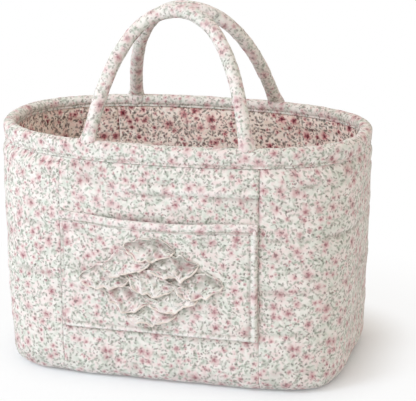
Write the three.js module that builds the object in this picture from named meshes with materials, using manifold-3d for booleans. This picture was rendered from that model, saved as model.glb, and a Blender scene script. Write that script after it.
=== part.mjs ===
// A quilted fabric storage basket with a stuffed rim, two stuffed loop handles,
// and a front pocket that carries a cluster of ruffle petals.
// Millimetres, +Z up, +X along the long side, -Y towards the pocket.
// The origin is the middle of the underside.

import * as THREE from 'three';
import * as BufferGeometryUtils from 'three/addons/utils/BufferGeometryUtils.js';
import Module from 'manifold-3d';

// Body
const RIM_LENGTH = 380;
const RIM_WIDTH = 200.4;
const RIM_SQUARENESS = 2.44;
const BASE_LENGTH = 347.6;
const BASE_WIDTH = 212.8;
const BASE_SQUARENESS = 5.2;
const BODY_HEIGHT = 246.5;
const BOTTOM_ROUNDING = 17.1;
const PANEL_SEAM_X = 102;
const CLEARANCE = 0.3;

// Layers of the quilted wall and of the floor
const OUTER_THICKNESS = 2.5;
const WADDING_THICKNESS = 6;
const WADDING_THICKNESS_AT_RIM = 2.4;
const LINING_THICKNESS = 1.5;
const BOARD_THICKNESS = 2.5;

// Rim: a binding over a filler cord, which hides the top edge of the wall
const RIM_THICKNESS = 12.5;
const RIM_CROWN = 5.2;
const BINDING_THICKNESS = 1.5;
const OUTER_BINDING_DROP = 18.6;
const INNER_BINDING_DROP = 11.4;
const PINCH_HEIGHT = 10.5;

// Handles
const FRONT_HANDLE = { side: -1, spread: 158.8, offset: 8.4, rise: 132.7, lean: 23.2 };
const BACK_HANDLE = { side: 1, spread: 150.8, offset: -5.5, rise: 128.4, lean: 30.7 };
const FOOT_WIDTH = 18;
const FOOT_DEPTH = 12;
const FOOT_TOE_IN = 1.8;
const FOOT_RISE = 8;
const SHOULDER_REACH = 63.9;
const HANDLE_DIAMETER = 16;
const HANDLE_COVER_THICKNESS = 1.4;
const HINGE_OFFSET = 1;
const TAB_WIDTH = 12;
const TAB_THICKNESS = 2.4;

// Pocket
const POCKET_TOP = 176;
const POCKET_BOTTOM = 60;
const POCKET_SAG = 3;
const POCKET_BULGE = 10;
const POCKET_SIDE_INSET = 0.8;
const POCKET_THICKNESS = 2;
const POCKET_LINING_THICKNESS = 1;
const HEM_HEIGHT = 9;
const HEM_THICKNESS = 0.9;

// Ruffle cluster on the pocket
const RUFFLE_CENTRE_X = -6;
const RUFFLE_CENTRE_Z = 112;
const RUFFLE_ROWS = 3;
const PETAL_LENGTH = 47;
const PETAL_HEIGHT = 21;
const PETAL_PITCH_X = 24;
const PETAL_PITCH_Z = 17;
const PETAL_EDGE = 1.2;
const PETAL_CROWN = 5;
const PETAL_CRINKLE = 0.5;
const PETAL_END_WIDTH = 0.12;

// Facets
const SIDE_STEPS = 8;
const END_STEPS = 16;
const CORNER_STEPS = 3;
const RIM_STEP = Math.PI / 6;
const HANDLE_SIDES = 12;
const HANDLE_STEPS = 20;
const POCKET_STEPS_X = 12;
const POCKET_STEPS_Z = 5;
const PETAL_STEPS_X = 6;
const PETAL_STEPS_Z = 4;

// Sizes that follow from the ones above
const WADDING_SQUEEZE = WADDING_THICKNESS - WADDING_THICKNESS_AT_RIM;
const WALL_THICKNESS_AT_RIM = OUTER_THICKNESS + WADDING_THICKNESS_AT_RIM + LINING_THICKNESS + 2 * CLEARANCE;
const WALL_INSET_AT_RIM = (RIM_THICKNESS - WALL_THICKNESS_AT_RIM) / 2;
const WALL_TOP_DROP = 2 * RIM_CROWN - BINDING_THICKNESS;
const RIM_SEAM_Z = BODY_HEIGHT - OUTER_BINDING_DROP;
const WADDING_DEPTH = OUTER_THICKNESS + CLEARANCE;
const LINING_DEPTH = WADDING_DEPTH + WADDING_THICKNESS + CLEARANCE;
const BASE_WADDING_THICKNESS = WADDING_THICKNESS - BOARD_THICKNESS - CLEARANCE;
const BOARD_Z = WADDING_DEPTH + BASE_WADDING_THICKNESS + CLEARANCE;

const wasm = await Module();
wasm.setup();

// Materials
const fabric = (color) => new THREE.MeshStandardMaterial({ color, roughness: 0.9, metalness: 0 });
const floralCotton = fabric('#e6ddd8');
const liningCotton = fabric('#c9aca6');
const whiteWadding = fabric('#f3f1ec');
const fillerCord = fabric('#ece6da');
const greyBoard = fabric('#a39a8c');

const basket = new THREE.Group();
const frontHandle = new THREE.Group();
const backHandle = new THREE.Group();
basket.add(frontHandle, backHandle);

function addPiece(parent, name, geometry, material) {
  const mesh = new THREE.Mesh(geometry, material);
  mesh.name = name;
  parent.add(mesh);
  return mesh;
}

// A closed body from shared points and triangles, turned so that its faces point out
function closedSolid(points, triangles) {
  let volume = 0;
  for (const [i, j, k] of triangles) {
    volume += points[i].dot(new THREE.Vector3().crossVectors(points[j], points[k]));
  }
  const faces = volume < 0 ? triangles.map(([i, j, k]) => [i, k, j]) : triangles;
  const geometry = new THREE.BufferGeometry();
  geometry.setAttribute('position', new THREE.Float32BufferAttribute(points.flatMap((p) => p.toArray()), 3));
  geometry.setIndex(faces.flat());
  geometry.computeVertexNormals();
  return geometry;
}

// A sheet with a thickness: two matching grids of points, joined round their edges
function sheetSolid(outside, inside) {
  const rows = outside.length;
  const columns = outside[0].length;
  const points = [...outside.flat(), ...inside.flat()];
  const out = (r, c) => r * columns + c;
  const inn = (r, c) => rows * columns + r * columns + c;
  const triangles = [];
  const quad = (a, b, c, d) => triangles.push([a, b, c], [a, c, d]);
  for (let r = 0; r < rows - 1; r += 1) {
    for (let c = 0; c < columns - 1; c += 1) {
      quad(out(r, c), out(r + 1, c), out(r + 1, c + 1), out(r, c + 1));
      quad(inn(r, c), inn(r, c + 1), inn(r + 1, c + 1), inn(r + 1, c));
    }
  }
  for (let c = 0; c < columns - 1; c += 1) {
    const last = rows - 1;
    quad(out(0, c), out(0, c + 1), inn(0, c + 1), inn(0, c));
    quad(out(last, c), inn(last, c), inn(last, c + 1), out(last, c + 1));
  }
  for (let r = 0; r < rows - 1; r += 1) {
    const last = columns - 1;
    quad(out(r, 0), inn(r, 0), inn(r + 1, 0), out(r + 1, 0));
    quad(out(r, last), out(r + 1, last), inn(r + 1, last), inn(r, last));
  }
  return closedSolid(points, triangles);
}

// A closed profile carried round a closed path: one list of points for each place on the path
function ringSolid(profiles) {
  const places = profiles.length;
  const count = profiles[0].length;
  const at = (place, k) => (place % places) * count + (k % count);
  const triangles = [];
  for (let place = 0; place < places; place += 1) {
    for (let k = 0; k < count; k += 1) {
      triangles.push([at(place, k), at(place + 1, k), at(place + 1, k + 1)]);
      triangles.push([at(place, k), at(place + 1, k + 1), at(place, k + 1)]);
    }
  }
  return closedSolid(profiles.flat(), triangles);
}

// A convex section carried along an open path, with flat ends
function rodSolid(sections) {
  const count = sections[0].length;
  const at = (place, k) => place * count + (k % count);
  const last = sections.length - 1;
  const triangles = [];
  for (let place = 0; place < last; place += 1) {
    for (let k = 0; k < count; k += 1) {
      triangles.push([at(place, k), at(place, k + 1), at(place + 1, k)]);
      triangles.push([at(place, k + 1), at(place + 1, k + 1), at(place + 1, k)]);
    }
  }
  for (let k = 1; k < count - 1; k += 1) {
    triangles.push([at(0, 0), at(0, k + 1), at(0, k)]);
    triangles.push([at(last, 0), at(last, k), at(last, k + 1)]);
  }
  return closedSolid(sections.flat(), triangles);
}

// Plan outline: a superellipse, where 2 is an ellipse and a higher number is squarer
function outlineAt(z) {
  const rise = THREE.MathUtils.clamp(z, BOTTOM_ROUNDING, BODY_HEIGHT) / BODY_HEIGHT;
  return {
    a: THREE.MathUtils.lerp(BASE_LENGTH, RIM_LENGTH, rise) / 2,
    b: THREE.MathUtils.lerp(BASE_WIDTH, RIM_WIDTH, rise) / 2,
    n: THREE.MathUtils.lerp(BASE_SQUARENESS, RIM_SQUARENESS, rise),
  };
}

// A place on the outline, with the direction that points straight out of the wall there
function station({ a, b, n }, x, y) {
  const normal = new THREE.Vector2(
    (Math.sign(x) * Math.abs(x / a) ** (n - 1)) / a,
    (Math.sign(y) * Math.abs(y / b) ** (n - 1)) / b,
  );
  return { point: new THREE.Vector2(x, y), normal: normal.normalize() };
}

function sideStation(outline, x, side) {
  const y = side * outline.b * (1 - Math.abs(x / outline.a) ** outline.n) ** (1 / outline.n);
  return station(outline, x, y);
}

// Stations of a long side, from one panel seam to the other
function sideStations(outline, side) {
  const stations = [];
  for (let i = 0; i <= SIDE_STEPS; i += 1) {
    const x = THREE.MathUtils.lerp(-PANEL_SEAM_X, PANEL_SEAM_X, i / SIDE_STEPS);
    stations.push(sideStation(outline, -side * x, side));
  }
  return stations;
}

// Stations of an end, from one panel seam round to the other, closer together where it bends
function endStations(outline, end) {
  const { a, b, n } = outline;
  const seamAngle = Math.acos((PANEL_SEAM_X / a) ** (n / 2));
  const fineSteps = 20 * END_STEPS;
  const fine = [];
  for (let i = 0; i <= fineSteps; i += 1) {
    const angle = THREE.MathUtils.lerp(-seamAngle, seamAngle, i / fineSteps);
    const x = a * Math.cos(angle) ** (2 / n);
    const y = Math.sign(angle) * b * Math.abs(Math.sin(angle)) ** (2 / n);
    fine.push(station(outline, end * x, end * y));
  }
  const lengths = [0];
  const turns = [0];
  for (let i = 1; i <= fineSteps; i += 1) {
    lengths.push(lengths[i - 1] + fine[i].point.distanceTo(fine[i - 1].point));
    turns.push(turns[i - 1] + Math.acos(Math.min(1, fine[i].normal.dot(fine[i - 1].normal))));
  }
  const stations = [];
  for (let i = 0; i <= END_STEPS; i += 1) {
    const share = (k) => (lengths[k] / lengths[fineSteps] + turns[k] / turns[fineSteps]) / 2;
    let k = 0;
    while (k < fineSteps && share(k) < i / END_STEPS - 1e-9) k += 1;
    stations.push(fine[k]);
  }
  return stations;
}

// Each panel is seen from above as a run of stations that goes round the basket anticlockwise
const PANELS = {
  front: (outline) => sideStations(outline, -1),
  right: (outline) => endStations(outline, 1),
  back: (outline) => sideStations(outline, 1),
  left: (outline) => endStations(outline, -1),
};

// The panel's stations, with its two end ones drawn back from the seams by half the clearance
function panelStations(panel, outline) {
  const stations = PANELS[panel](outline);
  const last = stations.length - 1;
  const shifted = ({ point, normal }, distance) => ({
    point: new THREE.Vector2(point.x - normal.y * distance, point.y + normal.x * distance),
    normal,
  });
  stations[0] = shifted(stations[0], CLEARANCE / 2);
  stations[last] = shifted(stations[last], -CLEARANCE / 2);
  return stations;
}

// The outline without seams, for what runs all the way round
function allStations(outline) {
  return Object.values(PANELS).flatMap((stations) => stations(outline).slice(0, -1));
}

const inset = ({ point, normal }, distance, z) => new THREE.Vector3(
  point.x - normal.x * distance,
  point.y - normal.y * distance,
  z,
);

// Rows of the wall surface that lies at a depth below the outer face, from the rim to the floor.
// The wadding is squeezed thin under the rim binding, and the wall rounds inwards at the floor.
function wallRows(depth) {
  const rim = outlineAt(BODY_HEIGHT);
  const depthAtRim = Math.max(Math.min(depth, WADDING_DEPTH), depth - WADDING_SQUEEZE);
  const belowPinchZ = RIM_SEAM_Z - PINCH_HEIGHT;
  const middleZ = (belowPinchZ + BOTTOM_ROUNDING) / 2;
  const rows = [
    { outline: rim, z: BODY_HEIGHT - WALL_TOP_DROP, distance: WALL_INSET_AT_RIM + depthAtRim },
    { outline: rim, z: RIM_SEAM_Z, distance: WALL_INSET_AT_RIM + depthAtRim },
    { outline: outlineAt(belowPinchZ), z: belowPinchZ, distance: depth },
    { outline: outlineAt(middleZ), z: middleZ, distance: depth },
  ];
  const radius = BOTTOM_ROUNDING - depth;
  for (let i = 0; i <= CORNER_STEPS; i += 1) {
    const angle = (i / CORNER_STEPS) * (Math.PI / 2);
    rows.push({
      outline: outlineAt(BOTTOM_ROUNDING),
      z: BOTTOM_ROUNDING - radius * Math.sin(angle),
      distance: BOTTOM_ROUNDING - radius * Math.cos(angle),
    });
  }
  return rows;
}

function wallGrid(panel, depth) {
  return wallRows(depth).map(({ outline, z, distance }) => (
    panelStations(panel, outline).map((place) => inset(place, distance, z))
  ));
}

// Floor pieces fill the outline inside the rounded edge
const floorOutline = allStations(outlineAt(BOTTOM_ROUNDING))
  .map((place) => inset(place, BOTTOM_ROUNDING + CLEARANCE, 0));
const floorShape = new THREE.Shape(floorOutline.map((p) => new THREE.Vector2(p.x, p.y)));

function addFloorPiece(name, z, thickness, material) {
  const geometry = new THREE.ExtrudeGeometry(floorShape, { depth: thickness, bevelEnabled: false });
  addPiece(basket, name, geometry, material).position.z = z;
}

// Outer cover, wadding and lining, each of four panels and a floor
function addLayer(prefix, suffix, depth, thickness, material) {
  for (const panel of Object.keys(PANELS)) {
    const geometry = sheetSolid(wallGrid(panel, depth), wallGrid(panel, depth + thickness));
    addPiece(basket, `${prefix}_${panel}${suffix}`, geometry, material);
  }
}

addLayer('outer', '_panel', 0, OUTER_THICKNESS, floralCotton);
addLayer('wadding', '', WADDING_DEPTH, WADDING_THICKNESS, whiteWadding);
addLayer('lining', '_panel', LINING_DEPTH, LINING_THICKNESS, liningCotton);
addFloorPiece('outer_base_panel', 0, OUTER_THICKNESS, floralCotton);
addFloorPiece('wadding_base', WADDING_DEPTH, BASE_WADDING_THICKNESS, whiteWadding);
addFloorPiece('base_board', BOARD_Z, BOARD_THICKNESS, greyBoard);
addFloorPiece('lining_base_panel', LINING_DEPTH, LINING_THICKNESS, liningCotton);

// Rim, in section: distance in from the rim's outer face, and drop below its top
const rimStations = allStations(outlineAt(BODY_HEIGHT));
const crownPoint = (depth, angle) => [
  RIM_THICKNESS / 2 - (RIM_THICKNESS / 2 - depth) * Math.cos(angle),
  RIM_CROWN - (RIM_CROWN - depth) * Math.sin(angle),
];

// One face of the binding: the long outer leg, the round crown and the short inner leg
function bindingFace(depth) {
  const legInset = WALL_INSET_AT_RIM - CLEARANCE - BINDING_THICKNESS + depth;
  const face = [[legInset, OUTER_BINDING_DROP]];
  for (let angle = 0; angle < Math.PI + 1e-6; angle += RIM_STEP) {
    face.push(crownPoint(depth, angle));
  }
  face.push([RIM_THICKNESS - legInset, INNER_BINDING_DROP]);
  return face;
}

function rimRing(section) {
  return ringSolid(rimStations.map((place) => (
    section.map(([distance, drop]) => inset(place, distance, BODY_HEIGHT - drop))
  )));
}

const bindingSection = [...bindingFace(0), ...bindingFace(BINDING_THICKNESS).reverse()];
const cordSection = [];
for (let angle = 2 * Math.PI; angle > 1e-6; angle -= RIM_STEP) {
  cordSection.push(crownPoint(BINDING_THICKNESS + CLEARANCE, angle));
}

// Each handle's sewn-in end is a flat tab. It passes down through slits in the binding and the cord.
function tabBox({ side, spread, offset }, end, clearance) {
  const place = sideStation(outlineAt(BODY_HEIGHT), offset + (end * spread) / 2, side);
  const length = WALL_TOP_DROP - CLEARANCE;
  const geometry = new THREE.BoxGeometry(
    TAB_WIDTH + 2 * clearance,
    TAB_THICKNESS + 2 * clearance,
    length + 4 * clearance,
  );
  const centre = inset(place, RIM_THICKNESS / 2, BODY_HEIGHT - length / 2);
  const turn = Math.atan2(place.normal.x, -place.normal.y);
  return { geometry, centre, turn };
}

function toManifold(geometry) {
  const bare = geometry.clone();
  bare.deleteAttribute('normal');
  bare.deleteAttribute('uv');
  const merged = BufferGeometryUtils.mergeVertices(bare, 1e-4);
  return new wasm.Manifold(new wasm.Mesh({
    numProp: 3,
    vertProperties: new Float32Array(merged.attributes.position.array),
    triVerts: new Uint32Array(merged.index.array),
  }));
}

function fromManifold(solid) {
  const mesh = solid.getMesh();
  const geometry = new THREE.BufferGeometry();
  geometry.setAttribute('position', new THREE.BufferAttribute(mesh.vertProperties, 3));
  geometry.setIndex(new THREE.BufferAttribute(mesh.triVerts, 1));
  geometry.computeVertexNormals();
  return geometry;
}

function withTabSlits(geometry) {
  let solid = toManifold(geometry);
  for (const handle of [FRONT_HANDLE, BACK_HANDLE]) {
    for (const end of [-1, 1]) {
      const slit = tabBox(handle, end, CLEARANCE);
      slit.geometry.rotateZ(slit.turn);
      slit.geometry.translate(...slit.centre.toArray());
      solid = solid.subtract(toManifold(slit.geometry));
    }
  }
  return fromManifold(solid);
}

addPiece(basket, 'rim_binding', withTabSlits(rimRing(bindingSection)), floralCotton);
addPiece(basket, 'rim_cord', withTabSlits(rimRing(cordSection)), fillerCord);

// Handles: a stuffed tube along a flat arch that stands on the rim and leans in over the opening.
// Each hinge lies at the rim's outer top edge, beside the foot that is nearest to the middle.
const FOOT_Z = BODY_HEIGHT + CLEARANCE;

function hingeY({ side, spread, offset }) {
  const x = spread / 2 - Math.abs(offset) - FOOT_WIDTH / 2;
  return sideStation(outlineAt(BODY_HEIGHT), x, side).point.y;
}

function archFrames(handle) {
  const { side, spread, offset, rise, lean } = handle;
  const half = new THREE.CubicBezierCurve(
    new THREE.Vector2(spread / 2, 0),
    new THREE.Vector2(spread / 2 - FOOT_TOE_IN, FOOT_RISE),
    new THREE.Vector2(SHOULDER_REACH, rise),
    new THREE.Vector2(0, rise),
  );
  const tilt = THREE.MathUtils.degToRad(lean);
  const up = new THREE.Vector3(0, -side * Math.sin(tilt), Math.cos(tilt));
  const footY = hingeY(handle) - side * (HINGE_OFFSET + FOOT_DEPTH / 2 / Math.cos(tilt));
  const foot = new THREE.Vector3(offset, footY, FOOT_Z);
  const frames = [];
  for (let i = 0; i <= HANDLE_STEPS; i += 1) {
    const along = (2 * i) / HANDLE_STEPS;
    const end = along < 1 ? -1 : 1;
    const share = along < 1 ? along : 2 - along;
    const place = half.getPointAt(share);
    const run = half.getTangentAt(share);
    const tangent = new THREE.Vector3(-run.x, 0, 0).addScaledVector(up, -end * run.y);
    frames.push({
      centre: new THREE.Vector3(end * place.x, 0, 0).addScaledVector(up, place.y).add(foot),
      tangent: tangent.normalize(),
      across: new THREE.Vector3(1, 0, 0).cross(up).normalize(),
      atFoot: i === 0 || i === HANDLE_STEPS,
    });
  }
  return frames;
}

// A section of the arch. It is round, but a foot is flattened on the rim and cut level with its top.
function archSection({ centre, tangent, across, atFoot }, cover) {
  const halfWidth = (atFoot ? FOOT_WIDTH : HANDLE_DIAMETER) / 2 - cover;
  const halfDepth = (atFoot ? FOOT_DEPTH : HANDLE_DIAMETER) / 2 - cover;
  const outward = across.clone().cross(tangent);
  const section = [];
  for (let k = 0; k < HANDLE_SIDES; k += 1) {
    const angle = (2 * Math.PI * k) / HANDLE_SIDES;
    const point = centre.clone()
      .addScaledVector(outward, halfWidth * Math.cos(angle))
      .addScaledVector(across, halfDepth * Math.sin(angle));
    if (atFoot) point.addScaledVector(tangent, (FOOT_Z - point.z) / tangent.z);
    section.push(point);
  }
  return section;
}

function addHandle(group, name, handle) {
  const frames = archFrames(handle);
  const sections = (cover) => frames.map((frame) => archSection(frame, cover));
  const outside = sections(0);
  const bore = sections(HANDLE_COVER_THICKNESS);
  const profiles = [];
  for (let k = 0; k < HANDLE_SIDES; k += 1) {
    profiles.push([...outside.map((section) => section[k]), ...bore.map((section) => section[k]).reverse()]);
  }
  addPiece(group, `${name}_cover`, ringSolid(profiles), floralCotton);
  addPiece(group, `${name}_core`, rodSolid(sections(HANDLE_COVER_THICKNESS + CLEARANCE)), fillerCord);
  for (const end of [-1, 1]) {
    const tab = tabBox(handle, end, 0);
    const piece = addPiece(basket, `${name}_tab_${end < 0 ? 'left' : 'right'}`, tab.geometry, floralCotton);
    piece.position.copy(tab.centre);
    piece.rotation.z = tab.turn;
  }
}

addHandle(frontHandle, 'front_handle', FRONT_HANDLE);
addHandle(backHandle, 'back_handle', BACK_HANDLE);

// Pocket: a lined patch on the front panel that gapes towards its sagging mouth
const pocketHalf = PANEL_SEAM_X - POCKET_SIDE_INSET;
const hump = (x) => Math.cos((Math.PI / 2) * (x / pocketHalf)) ** 2;
const mouthZ = (x) => POCKET_TOP - POCKET_SAG * hump(x);

function pocketPoint(x, z, lift) {
  const height = (z - POCKET_BOTTOM) / (mouthZ(x) - POCKET_BOTTOM);
  const gape = POCKET_BULGE * hump(x) * Math.max(0, height) ** 1.5;
  return inset(sideStation(outlineAt(z), x, -1), -lift - gape, z);
}

function pocketGrid(lift, topDrop) {
  const rows = [];
  for (let j = POCKET_STEPS_Z; j >= 0; j -= 1) {
    const row = [];
    for (let i = 0; i <= POCKET_STEPS_X; i += 1) {
      const x = THREE.MathUtils.lerp(-pocketHalf, pocketHalf, i / POCKET_STEPS_X);
      const z = THREE.MathUtils.lerp(POCKET_BOTTOM, mouthZ(x) - topDrop, j / POCKET_STEPS_Z);
      row.push(pocketPoint(x, z, lift));
    }
    rows.push(row);
  }
  return rows;
}

const underHem = HEM_THICKNESS + CLEARANCE;
const pocketLiningFace = CLEARANCE + POCKET_LINING_THICKNESS;
const pocketBackFace = pocketLiningFace + CLEARANCE;
const pocketFrontFace = pocketBackFace + POCKET_THICKNESS;
const hemBackFace = pocketFrontFace + CLEARANCE;

function addPocketSheet(name, frontFace, backFace, material) {
  const geometry = sheetSolid(pocketGrid(frontFace, underHem), pocketGrid(backFace, underHem));
  addPiece(basket, name, geometry, material);
}

addPocketSheet('pocket_lining', pocketLiningFace, CLEARANCE, liningCotton);
addPocketSheet('pocket_panel', pocketFrontFace, pocketBackFace, floralCotton);

// The hem is folded over the pocket's top edge, and comes down in front of it
const hemSection = [
  [CLEARANCE, 0],
  [hemBackFace + HEM_THICKNESS, 0],
  [hemBackFace + HEM_THICKNESS, HEM_HEIGHT],
  [hemBackFace, HEM_HEIGHT],
  [hemBackFace, HEM_THICKNESS],
  [CLEARANCE, HEM_THICKNESS],
];

function hemSolid() {
  const count = hemSection.length;
  const points = [];
  const triangles = [];
  for (let i = 0; i <= POCKET_STEPS_X; i += 1) {
    const x = THREE.MathUtils.lerp(-pocketHalf, pocketHalf, i / POCKET_STEPS_X);
    for (const [lift, drop] of hemSection) points.push(pocketPoint(x, mouthZ(x) - drop, lift));
  }
  for (let i = 0; i < POCKET_STEPS_X; i += 1) {
    for (let k = 0; k < count; k += 1) {
      const here = i * count;
      const next = here + count;
      const after = (k + 1) % count;
      triangles.push([here + k, next + k, next + after], [here + k, next + after, here + after]);
    }
  }
  const last = POCKET_STEPS_X * count;
  for (const [a, b, c] of [[0, 4, 5], [0, 1, 4], [1, 3, 4], [1, 2, 3]]) {
    triangles.push([a, b, c], [last + a, last + c, last + b]);
  }
  return closedSolid(points, triangles);
}

addPiece(basket, 'pocket_hem', hemSolid(), floralCotton);

// Ruffle cluster: lens-shaped petals of crinkled fabric, set in a diamond of three by three
function petalGrid(centreX, centreZ, lean, liftAt) {
  const rows = [];
  for (let j = PETAL_STEPS_Z; j >= 0; j -= 1) {
    const row = [];
    for (let i = 0; i <= PETAL_STEPS_X; i += 1) {
      const u = (2 * i) / PETAL_STEPS_X - 1;
      const v = (2 * j) / PETAL_STEPS_Z - 1;
      const width = PETAL_END_WIDTH + (1 - PETAL_END_WIDTH) * Math.cos((Math.PI / 2) * u);
      const x = centreX + (PETAL_LENGTH / 2) * u;
      const z = centreZ + (PETAL_HEIGHT / 2) * v * width;
      row.push(pocketPoint(x, z, pocketFrontFace + CLEARANCE + liftAt(u, v, lean)));
    }
    rows.push(row);
  }
  return rows;
}

function petalLift(u, v, lean) {
  const crown = (1 - u * u) * (1 - v * v) * (1 + lean * v);
  const crinkle = PETAL_CRINKLE * Math.cos(3 * Math.PI * u) * (1 - v * v);
  return PETAL_EDGE + PETAL_CROWN * crown + crinkle;
}

let petalCount = 0;
for (let i = 0; i < RUFFLE_ROWS; i += 1) {
  for (let j = 0; j < RUFFLE_ROWS; j += 1) {
    const x = RUFFLE_CENTRE_X + (i - j) * PETAL_PITCH_X;
    const z = RUFFLE_CENTRE_Z + (RUFFLE_ROWS - 1 - i - j) * PETAL_PITCH_Z;
    const lean = (i + j) % 2 === 0 ? -0.5 : 0.5;
    const top = petalGrid(x, z, lean, petalLift);
    const back = petalGrid(x, z, lean, () => 0);
    petalCount += 1;
    addPiece(basket, `ruffle_petal_${petalCount}`, sheetSolid(top, back), floralCotton);
  }
}

export default basket;
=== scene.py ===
# %% [markdown]
# # A quilted fabric storage basket
# The basket is a soft box of printed cotton over wadding, with a stuffed rim,
# two stuffed loop handles and a lined pocket that carries a cluster of ruffles.
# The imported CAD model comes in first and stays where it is. Every cloth piece
# below is then made in its place, because plain solids can't show puckers.

import math

import bpy
import numpy as np
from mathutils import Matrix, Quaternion, Vector


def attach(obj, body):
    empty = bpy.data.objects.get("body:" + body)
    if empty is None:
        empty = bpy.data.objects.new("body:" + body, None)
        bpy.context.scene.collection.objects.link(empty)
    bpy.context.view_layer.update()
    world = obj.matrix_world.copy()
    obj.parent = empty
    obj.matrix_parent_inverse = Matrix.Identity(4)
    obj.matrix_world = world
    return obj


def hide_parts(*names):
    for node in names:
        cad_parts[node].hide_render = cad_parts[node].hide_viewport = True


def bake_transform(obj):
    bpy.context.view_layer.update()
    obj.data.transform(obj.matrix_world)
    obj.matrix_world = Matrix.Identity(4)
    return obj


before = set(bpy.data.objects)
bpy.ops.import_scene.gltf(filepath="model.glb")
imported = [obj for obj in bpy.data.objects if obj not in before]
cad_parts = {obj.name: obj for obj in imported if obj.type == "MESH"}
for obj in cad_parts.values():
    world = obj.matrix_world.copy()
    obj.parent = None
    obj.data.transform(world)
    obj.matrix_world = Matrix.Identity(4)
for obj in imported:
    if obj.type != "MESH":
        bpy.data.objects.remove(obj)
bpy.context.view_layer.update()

# %% [markdown]
# ## Sizes
# The sizes repeat those of the CAD source, in millimetres. Points are worked
# out in millimetres too, and turned to metres when a mesh is made.

# %% Sizes
MM = 0.001
HEIGHT = 246.5
# Half length, half width and squareness of the outline, at the rim and at the floor.
RIM = (190.0, 100.2, 2.44)
BASE = (173.8, 106.4, 5.2)
# Radius of the soft bottom edge, and how far the upright seams are from the middle.
CORNER, SEAM_X = 17.1, 102.0
GAP, SEAM_SLIT = 0.3, 0.03
# The rim roll, how far its binding reaches down outside and inside, and where the
# cover swells out again below it.
RIM_THICKNESS, RIM_CROWN, BINDING = 12.5, 5.2, 1.5
OUTER_DROP, INNER_DROP = 18.6, 11.4
RIM_SEAM_Z = HEIGHT - OUTER_DROP
PINCH_Z = RIM_SEAM_Z - 10.5
WALL_TOP_DROP = 2 * RIM_CROWN - BINDING
RIM_INSET, RIM_SQUEEZE = 2.75, 3.6
# Where the cover ends, and the lining lies, as depths below the outer face.
COVER_THICKNESS = 2.5
LINING_BACK, LINING_FACE = 9.1, 10.6
POCKET_HALF = 101.2
POCKET_TOP, POCKET_BOTTOM = 175.0, 55.5
POCKET_SAG, POCKET_BULGE = 3.0, 4.2
# The second cloth attribute carries painted highlight and painted shade.
CLOTH_UV, CLOTH_PAINTED_SHADING = "cloth", "painted_shading"
print("wall:", HEIGHT, "mm high, rim", 2 * RIM[0], "by", 2 * RIM[1], "mm")

# %% [markdown]
# ## Puckers
# Sewn cotton over wadding is never flat: it has soft puckers a few millimetres
# to a few centimetres wide. A lattice of fixed values, smoothly joined, gives
# them as a number for any place. The same seed gives the same folds each run.

# %% Puckers
def lattice_value(cells, seed):
    x, y, z = (cells[..., k].astype(np.int64) for k in range(3))
    n = (x * 73856093) ^ (y * 19349663) ^ (z * 83492791) ^ (seed * 40503)
    n = (n ^ (n >> 13)) * 1274126177 & 0xFFFFFFFF
    return ((n ^ (n >> 16)) & 0xFFFF) / 32767.5 - 1


def pucker(place, cell, seed):
    """A smooth number from -1 to 1 at each place, which changes over about a cell."""
    q = np.asarray(place, float) / np.asarray(cell, float)
    low = np.floor(q)
    t = q - low
    t = t * t * (3 - 2 * t)
    total = 0.0
    for corner in np.ndindex(2, 2, 2):
        weight = np.prod(np.where(corner, t, 1 - t), axis=-1)
        total = total + weight * lattice_value(low + corner, seed)
    return total


def puckers(place, *layers):
    """The sum of layers of puckers, each given as height and cell in mm, and seed."""
    return sum(height * pucker(place, cell, seed) for height, cell, seed in layers)


def smooth_step(low, high, value):
    t = np.clip((np.asarray(value, float) - low) / (high - low), 0, 1)
    return t * t * (3 - 2 * t)


def dip(distance, width):
    """1 on a line of stitches, falling to 0 at about twice the width from it."""
    return np.exp(-((np.asarray(distance, float) / width) ** 2))


print("a pucker at the origin:", round(float(pucker([[0, 0, 0]], (9, 9, 9), 1)[0]), 3))

# %% [markdown]
# ## Meshes from grids
# Each piece is one or more grids of points. A cloth has an outer and an inner
# grid, joined round their edges, so that it's a closed sheet with a thickness.
# The UV map holds distances along the cloth in metres, so a print laid on it
# keeps its real size. It runs straight, while Object coordinates would smear
# the print where the cloth turns a corner. A second attribute holds painted
# light: from how far the cloth is raised or pressed down, a raised fold is
# painted paler as a highlight and a sewn groove darker as painted shade.

# %% Objects and their meshes
def add_object(name, data):
    obj = bpy.data.objects.new(name, data)
    bpy.context.scene.collection.objects.link(obj)
    return obj


def face_outwards(mesh):
    """Turns a closed mesh inside out if its volume comes out negative."""
    points = np.zeros(len(mesh.vertices) * 3)
    mesh.vertices.foreach_get("co", points)
    points = points.reshape(-1, 3)
    mesh.calc_loop_triangles()
    corners = np.zeros(len(mesh.loop_triangles) * 3, np.int32)
    mesh.loop_triangles.foreach_get("vertices", corners)
    a, b, c = points[corners.reshape(-1, 3)].transpose(1, 0, 2)
    if np.einsum("ij,ij->i", a, np.cross(b, c)).sum() < 0:
        mesh.flip_normals()


def triangles(piece):
    return sum(len(p.vertices) - 2 for p in piece.data.polygons)


# %% A piece of cloth
EDGE_UV = 1.5 * MM


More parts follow.
